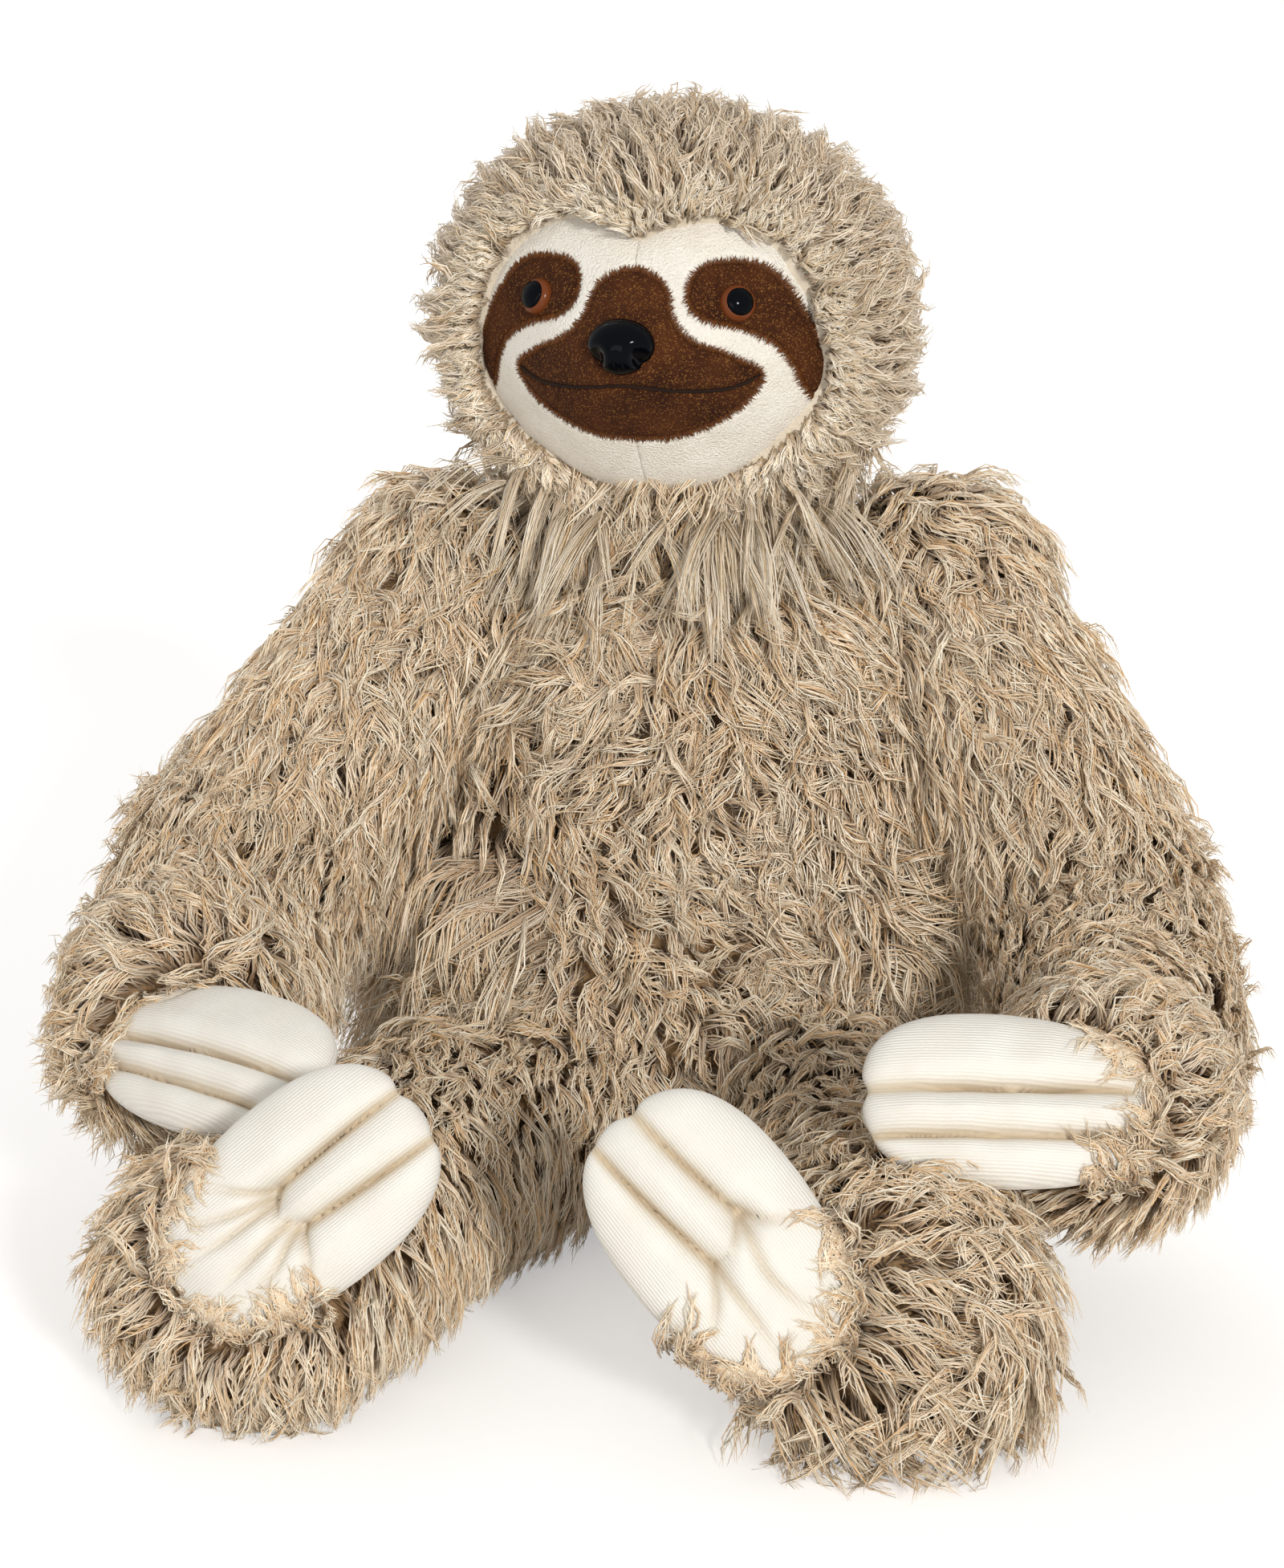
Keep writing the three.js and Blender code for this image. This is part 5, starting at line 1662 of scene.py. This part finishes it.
def add_cuff(name, body, first, last, length, seed):
    paw, rng = paws[name], np.random.default_rng(seed)
    angle = np.radians(first + (last - first) * rng.random(CUFF_LOCKS))
    rim = paw_rim(angle, paw["half"])
    outward = unit(rim)
    roots = rim + outward * (CUFF_OUTWARD * rng.random((CUFF_LOCKS, 1)) - CUFF_INWARD)
    roots = np.column_stack([roots, -CUFF_DEPTH * rng.random(CUFF_LOCKS)])
    upright = np.tile([0.0, 0.0, 1.0], (CUFF_LOCKS, 1))
    comb = np.column_stack([-outward, np.zeros(CUFF_LOCKS)])
    comb = turned_by(comb, upright, rng.normal(0, CUFF_SWING, CUFF_LOCKS))
    lengths = length * (0.3 + 1.1 * rng.random(CUFF_LOCKS) ** 1.5)
    lifts = 0.8 + 0.5 * rng.random(CUFF_LOCKS)
    lines, along, side = lock_lines(roots, upright, comb, lengths, lifts, 0.5, 0, rng)
    widths = np.full(CUFF_LOCKS, CUFF_LOCK_WIDTH)
    strands, normals = strand_lines(lines, along, side, upright, widths, rng, CUFF_STRANDS, CUFF_WAVE)
    strands = held_above(strands.reshape(-1, 3), paw, PAW_PATTERNS[name]).reshape(strands.shape)
    strands, normals = strands @ paw["axes"] + paw["middle"], normals @ paw["axes"]
    fur = strand_object(f"fur_cuff_{name}", strands, normals, body_fur, STRAND_RADIUS, rng)
    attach(fur, body)


for seed, (name, (first, last, length)) in enumerate(CUFF_ANGLES.items(), 90):
    add_cuff(name, name.replace("hand", "forearm").replace("foot", "leg"), first, last, length, seed)

# %% [markdown]
# The head's fur stands out like a brush round the crown and cheeks, and falls in long even locks under the
# chin. Where it meets the face a dense fringe of short locks hides the seam. Each stretch of fur is one call
# below, and the functions before the calls say which roots it takes, how it's combed and how long it is.

# %% Where the head's fur grows, and which way
COMB_CENTRE_AHEAD = 140 * MM
FACE_POINT = HEAD_MIDDLE + COMB_CENTRE_AHEAD * FACE_AHEAD
STRAIGHT_DOWN = np.array([0, 0, -1.0])
COLLAR_HEIGHT = 290 * MM
NECK_SPREAD = 90 * MM

# Places in the head's own axes, from its middle: across, back and up, or down where a name says below
BROW_HEIGHT = 20 * MM
FRINGE_WIDTH = 9 * MM
FRINGE_BACK = 20 * MM
BROW_TUCK = 0.3 * MM
CHEEK_TUCK = 2 * MM
FRINGE_HEIGHTS = (-60 * MM, -15 * MM)
BROW_ABOVE = (0, 40 * MM)
CHIN_BELOW = (30 * MM, 60 * MM)
BEARD_BELOW = 24 * MM
BEARD_SLOPE = 0.6
BEARD_BACK = 70 * MM
MANE_BELOW = 40 * MM
MANE_FRONT = 30 * MM
MANE_SIDE = 62 * MM
MANE_BACK = 10 * MM


def off_the_face(roots, normals):
    """Whether roots lie outside the face's opening."""
    local = to_head(roots)
    return ~(inside_line(local[:, [0, 2]], face_line) & (local[:, 1] < 0))


def away_from_face(roots, normals):
    return unit(roots - FACE_POINT)


def face_fringe(roots, normals):
    """Keeps a band round the face's outline, as seen from the front, with a little of it over the seam."""
    local = to_head(roots)
    gap, _ = distance_and_share(local[:, [0, 2]], np.vstack([face_line, face_line[:1]]))
    gap = np.where(local[:, 1] < FRINGE_BACK, gap, FAR_AWAY)
    tuck = np.where(local[:, 2] > BROW_HEIGHT, BROW_TUCK, CHEEK_TUCK)
    return (off_the_face(roots, normals) & (gap < FRINGE_WIDTH)) | (gap < tuck)


def fringe_lift(roots):
    """The fringe stands up round the brow and cheeks and falls at the chin."""
    return 0.45 + 0.85 * share_between(to_head(roots)[:, 2], *FRINGE_HEIGHTS)


def fringe_lean(roots):
    """The fringe leans ahead, less so over the brow."""
    brow = share_between(to_head(roots)[:, 2], *BROW_ABOVE)[:, None]
    return (1.2 - 0.8 * brow) * FACE_AHEAD


def cheek_and_chin(roots, normals):
    low = share_between(-to_head(roots)[:, 2], *CHIN_BELOW)[:, None]
    return unit(away_from_face(roots, normals) * (1 - low) + STRAIGHT_DOWN * low)


def under_the_chin(roots, normals):
    local = to_head(roots)
    low_enough = local[:, 2] < -BEARD_BELOW - BEARD_SLOPE * np.abs(local[:, 0])
    return off_the_face(roots, normals) & low_enough & (local[:, 1] < BEARD_BACK)


def behind_the_cheeks(roots, normals):
    local = to_head(roots)
    side_or_back = (np.abs(local[:, 0]) > MANE_SIDE) | (local[:, 1] > MANE_BACK)
    low_and_behind = (local[:, 2] < -MANE_BELOW) & (local[:, 1] > -MANE_FRONT)
    return off_the_face(roots, normals) & side_or_back & low_and_behind


def on_the_collar(roots, normals):
    return roots[:, 2] > COLLAR_HEIGHT


def outward_from_neck(roots, normals):
    return unit((roots - joint_place("neck_turn")) * (1, 1, 0))


def falling(across, back):
    """A comb that falls from the head and spreads a little over the shoulders."""
    def comb(roots, normals):
        offset = roots - joint_place("head_nod")
        return unit(offset * (across, back, 0) / NECK_SPREAD + STRAIGHT_DOWN)

    return comb


down_and_out = falling(0.5, 0.5)
over_the_shoulders = falling(0.4, 0.3)

# %% How long the head's fur is
HEAD_FUR = 32 * MM
CROWN_LOSS = 7 * MM
CHEEK_LOSS = 6 * MM
JAW_LOSS = 8 * MM
CROWN_ABOVE = (0, 85 * MM)
CHEEK_BESIDE = (0, 100 * MM)
JAW_BELOW = (20 * MM, 60 * MM)
MANE_FUR = 62 * MM
MANE_LOSS = 38 * MM
ALONG_THE_COMB = (0.72, 0.92)
MANE_LIFT_BELOW = (40 * MM, 65 * MM)


def head_length(roots):
    """Shorter straight over the crown and straight out at the cheeks, which squares the head a little."""
    local = to_head(roots)
    crown = share_between(np.abs(local[:, 2]), *CROWN_ABOVE)
    cheek = share_between(np.abs(local[:, 0]), *CHEEK_BESIDE)
    jaw = share_between(-local[:, 2], *JAW_BELOW)
    return HEAD_FUR - CROWN_LOSS * crown**3 - CHEEK_LOSS * cheek**4 - JAW_LOSS * jaw


def mane_length(roots):
    """Short where the comb points straight away from the head, as it gives the locks no direction there."""
    outward = unit(roots - HEAD_MIDDLE)
    aligned = (over_the_shoulders(roots, outward) * outward).sum(1)
    return MANE_FUR - MANE_LOSS * share_between(aligned, *ALONG_THE_COMB)


def mane_lift(roots):
    return 0.15 + 0.3 * share_between(-to_head(roots)[:, 2], *MANE_LIFT_BELOW)


# %% Fur on the neck and head
add_fur("fur_neck", "neck", 700, down_and_out, 60 * MM, 0.5, 0.3, 51, droop=1.4)
add_fur("fur_head", "head", 3300, away_from_face, head_length, 1.05, 0.35, 61, material=head_fur, curl=0.5,
        keep=off_the_face, droop=0.15, uneven=0.35)
add_fur("fur_fringe", "head", 26000, cheek_and_chin, 16 * MM, fringe_lift, 0.5, 62, material=ruff_fur,
        curl=0.5, keep=face_fringe, width=2.2 * MM, droop=0.0, per_lock=8, wave=1.2 * MM, lean=fringe_lean)
add_fur("fur_ruff", "head", 7200, down_and_out, 76 * MM, 0.25, 0.08, 63, material=ruff_fur, curl=0.16,
        keep=under_the_chin, swirl_size=0.3, droop=1.8, wave=0.8 * MM, width=3.6 * MM, per_lock=14,
        radius=0.4 * MM, scatter=0.14, close=0.3)
add_fur("fur_mane", "head", 5200, over_the_shoulders, mane_length, mane_lift, 0.25, 65, material=head_fur,
        curl=0.5, keep=behind_the_cheeks, droop=0.75)
add_fur("fur_cape", "torso", 3200, outward_from_neck, 52 * MM, 0.35, 0.2, 64, keep=on_the_collar, curl=0.5,
        droop=0.9)

# %% [markdown]
# The brown plush is napped, so its pile laps over the white at every seam and the edge looks soft.
# Short strands along the seams do this. They lie outward over the sunk seam, at slightly random angles.

# %% Pile over the face's seams
NAP_STEP = 0.17 * MM
NAP_LENGTH = 3.4 * MM
NAP_INSIDE = 1.3 * MM
NAP_RADIUS = 0.2 * MM
# Its first colour darkens the roots, painted shade as in the fur.
brown_nap = fur_material("brown_nap", "4A2511", "552B12", "8E592B", 0.2, 0.0)


def add_nap(name, line, seed):
    rng = np.random.default_rng(seed)
    places = smooth_line(line, True, NAP_STEP)
    forward = unit(np.roll(places, -1, 0) - np.roll(places, 1, 0))
    area = (places[:, 0] * np.roll(places[:, 1], -1) - np.roll(places[:, 0], -1) * places[:, 1]).sum()
    outward = np.stack([forward[:, 1], -forward[:, 0]], 1) * np.sign(area)
    shown = inside_line(places * 1.02, face_line)
    places, forward, outward = places[shown], forward[shown], outward[shown]
    count = len(places)
    heading = unit(outward + rng.normal(0, 0.45, (count, 1)) * forward)
    length = NAP_LENGTH * (0.5 + rng.random(count))
    station = np.linspace(0, 1, STATIONS)
    reach = length[:, None] * station - NAP_INSIDE * (0.6 + 0.8 * rng.random((count, 1)))
    flat_places = places[:, None] + reach[..., None] * heading[:, None]
    heights = PLUSH - 1.7 * MM + (1.5 + 0.8 * rng.random((count, 1))) * MM * station**0.6
    strands = above_face(flat_places.reshape(-1, 2), heights.ravel()).reshape(count, STATIONS, 3)
    nap = strand_object(name, strands, np.tile(FACE_AHEAD, (count, 1)), brown_nap, NAP_RADIUS, rng)
    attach(nap, "head")


add_nap("nap_muzzle", muzzle_line, 101)
for seed, side in enumerate(SIDES, 102):
    add_nap(f"nap_eye_patch_{side}", patch_lines[side], seed)

# %% [markdown]
# ## Floor
# The photo has no floor to see, only a soft shadow under the toy. One wide pale square gives that.
# It shines a little for the camera alone, so that it meets the white background without an edge.

# %% The floor
FLOOR_SIZE = 60
FLOOR_SEEN = (0.98, 0.98, 0.98, 1)
FLOOR_BOUNCE = (0.88, 0.86, 0.83, 1)
FLOOR_GLOW = 0.42


def add_floor():
    material, tree, shader = new_material("pale_floor", (0.93, 0.93, 0.93), 0.9, 0)
    shader.inputs["Emission Color"].default_value = (1, 1, 1, 1)
    make = node_maker(tree)
    seen = seen_directly(tree)
    colour = make("Mix", {"A": FLOOR_BOUNCE, "B": FLOOR_SEEN}, data_type="RGBA")
    glow = make("Math", {1: FLOOR_GLOW}, operation="MULTIPLY")
    join(tree, (seen, 0, colour, "Factor"), (colour, "Result", shader, "Base Color"), (seen, 0, glow, 0),
         (glow, 0, shader, "Emission Strength"))
    half = FLOOR_SIZE / 2
    corners = [(-half, -half, 0), (half, -half, 0), (half, half, 0), (-half, half, 0)]
    add_object("floor", corners, [(0, 1, 2, 3)], material)
    print("floor", FLOOR_SIZE, "m wide")


add_floor()
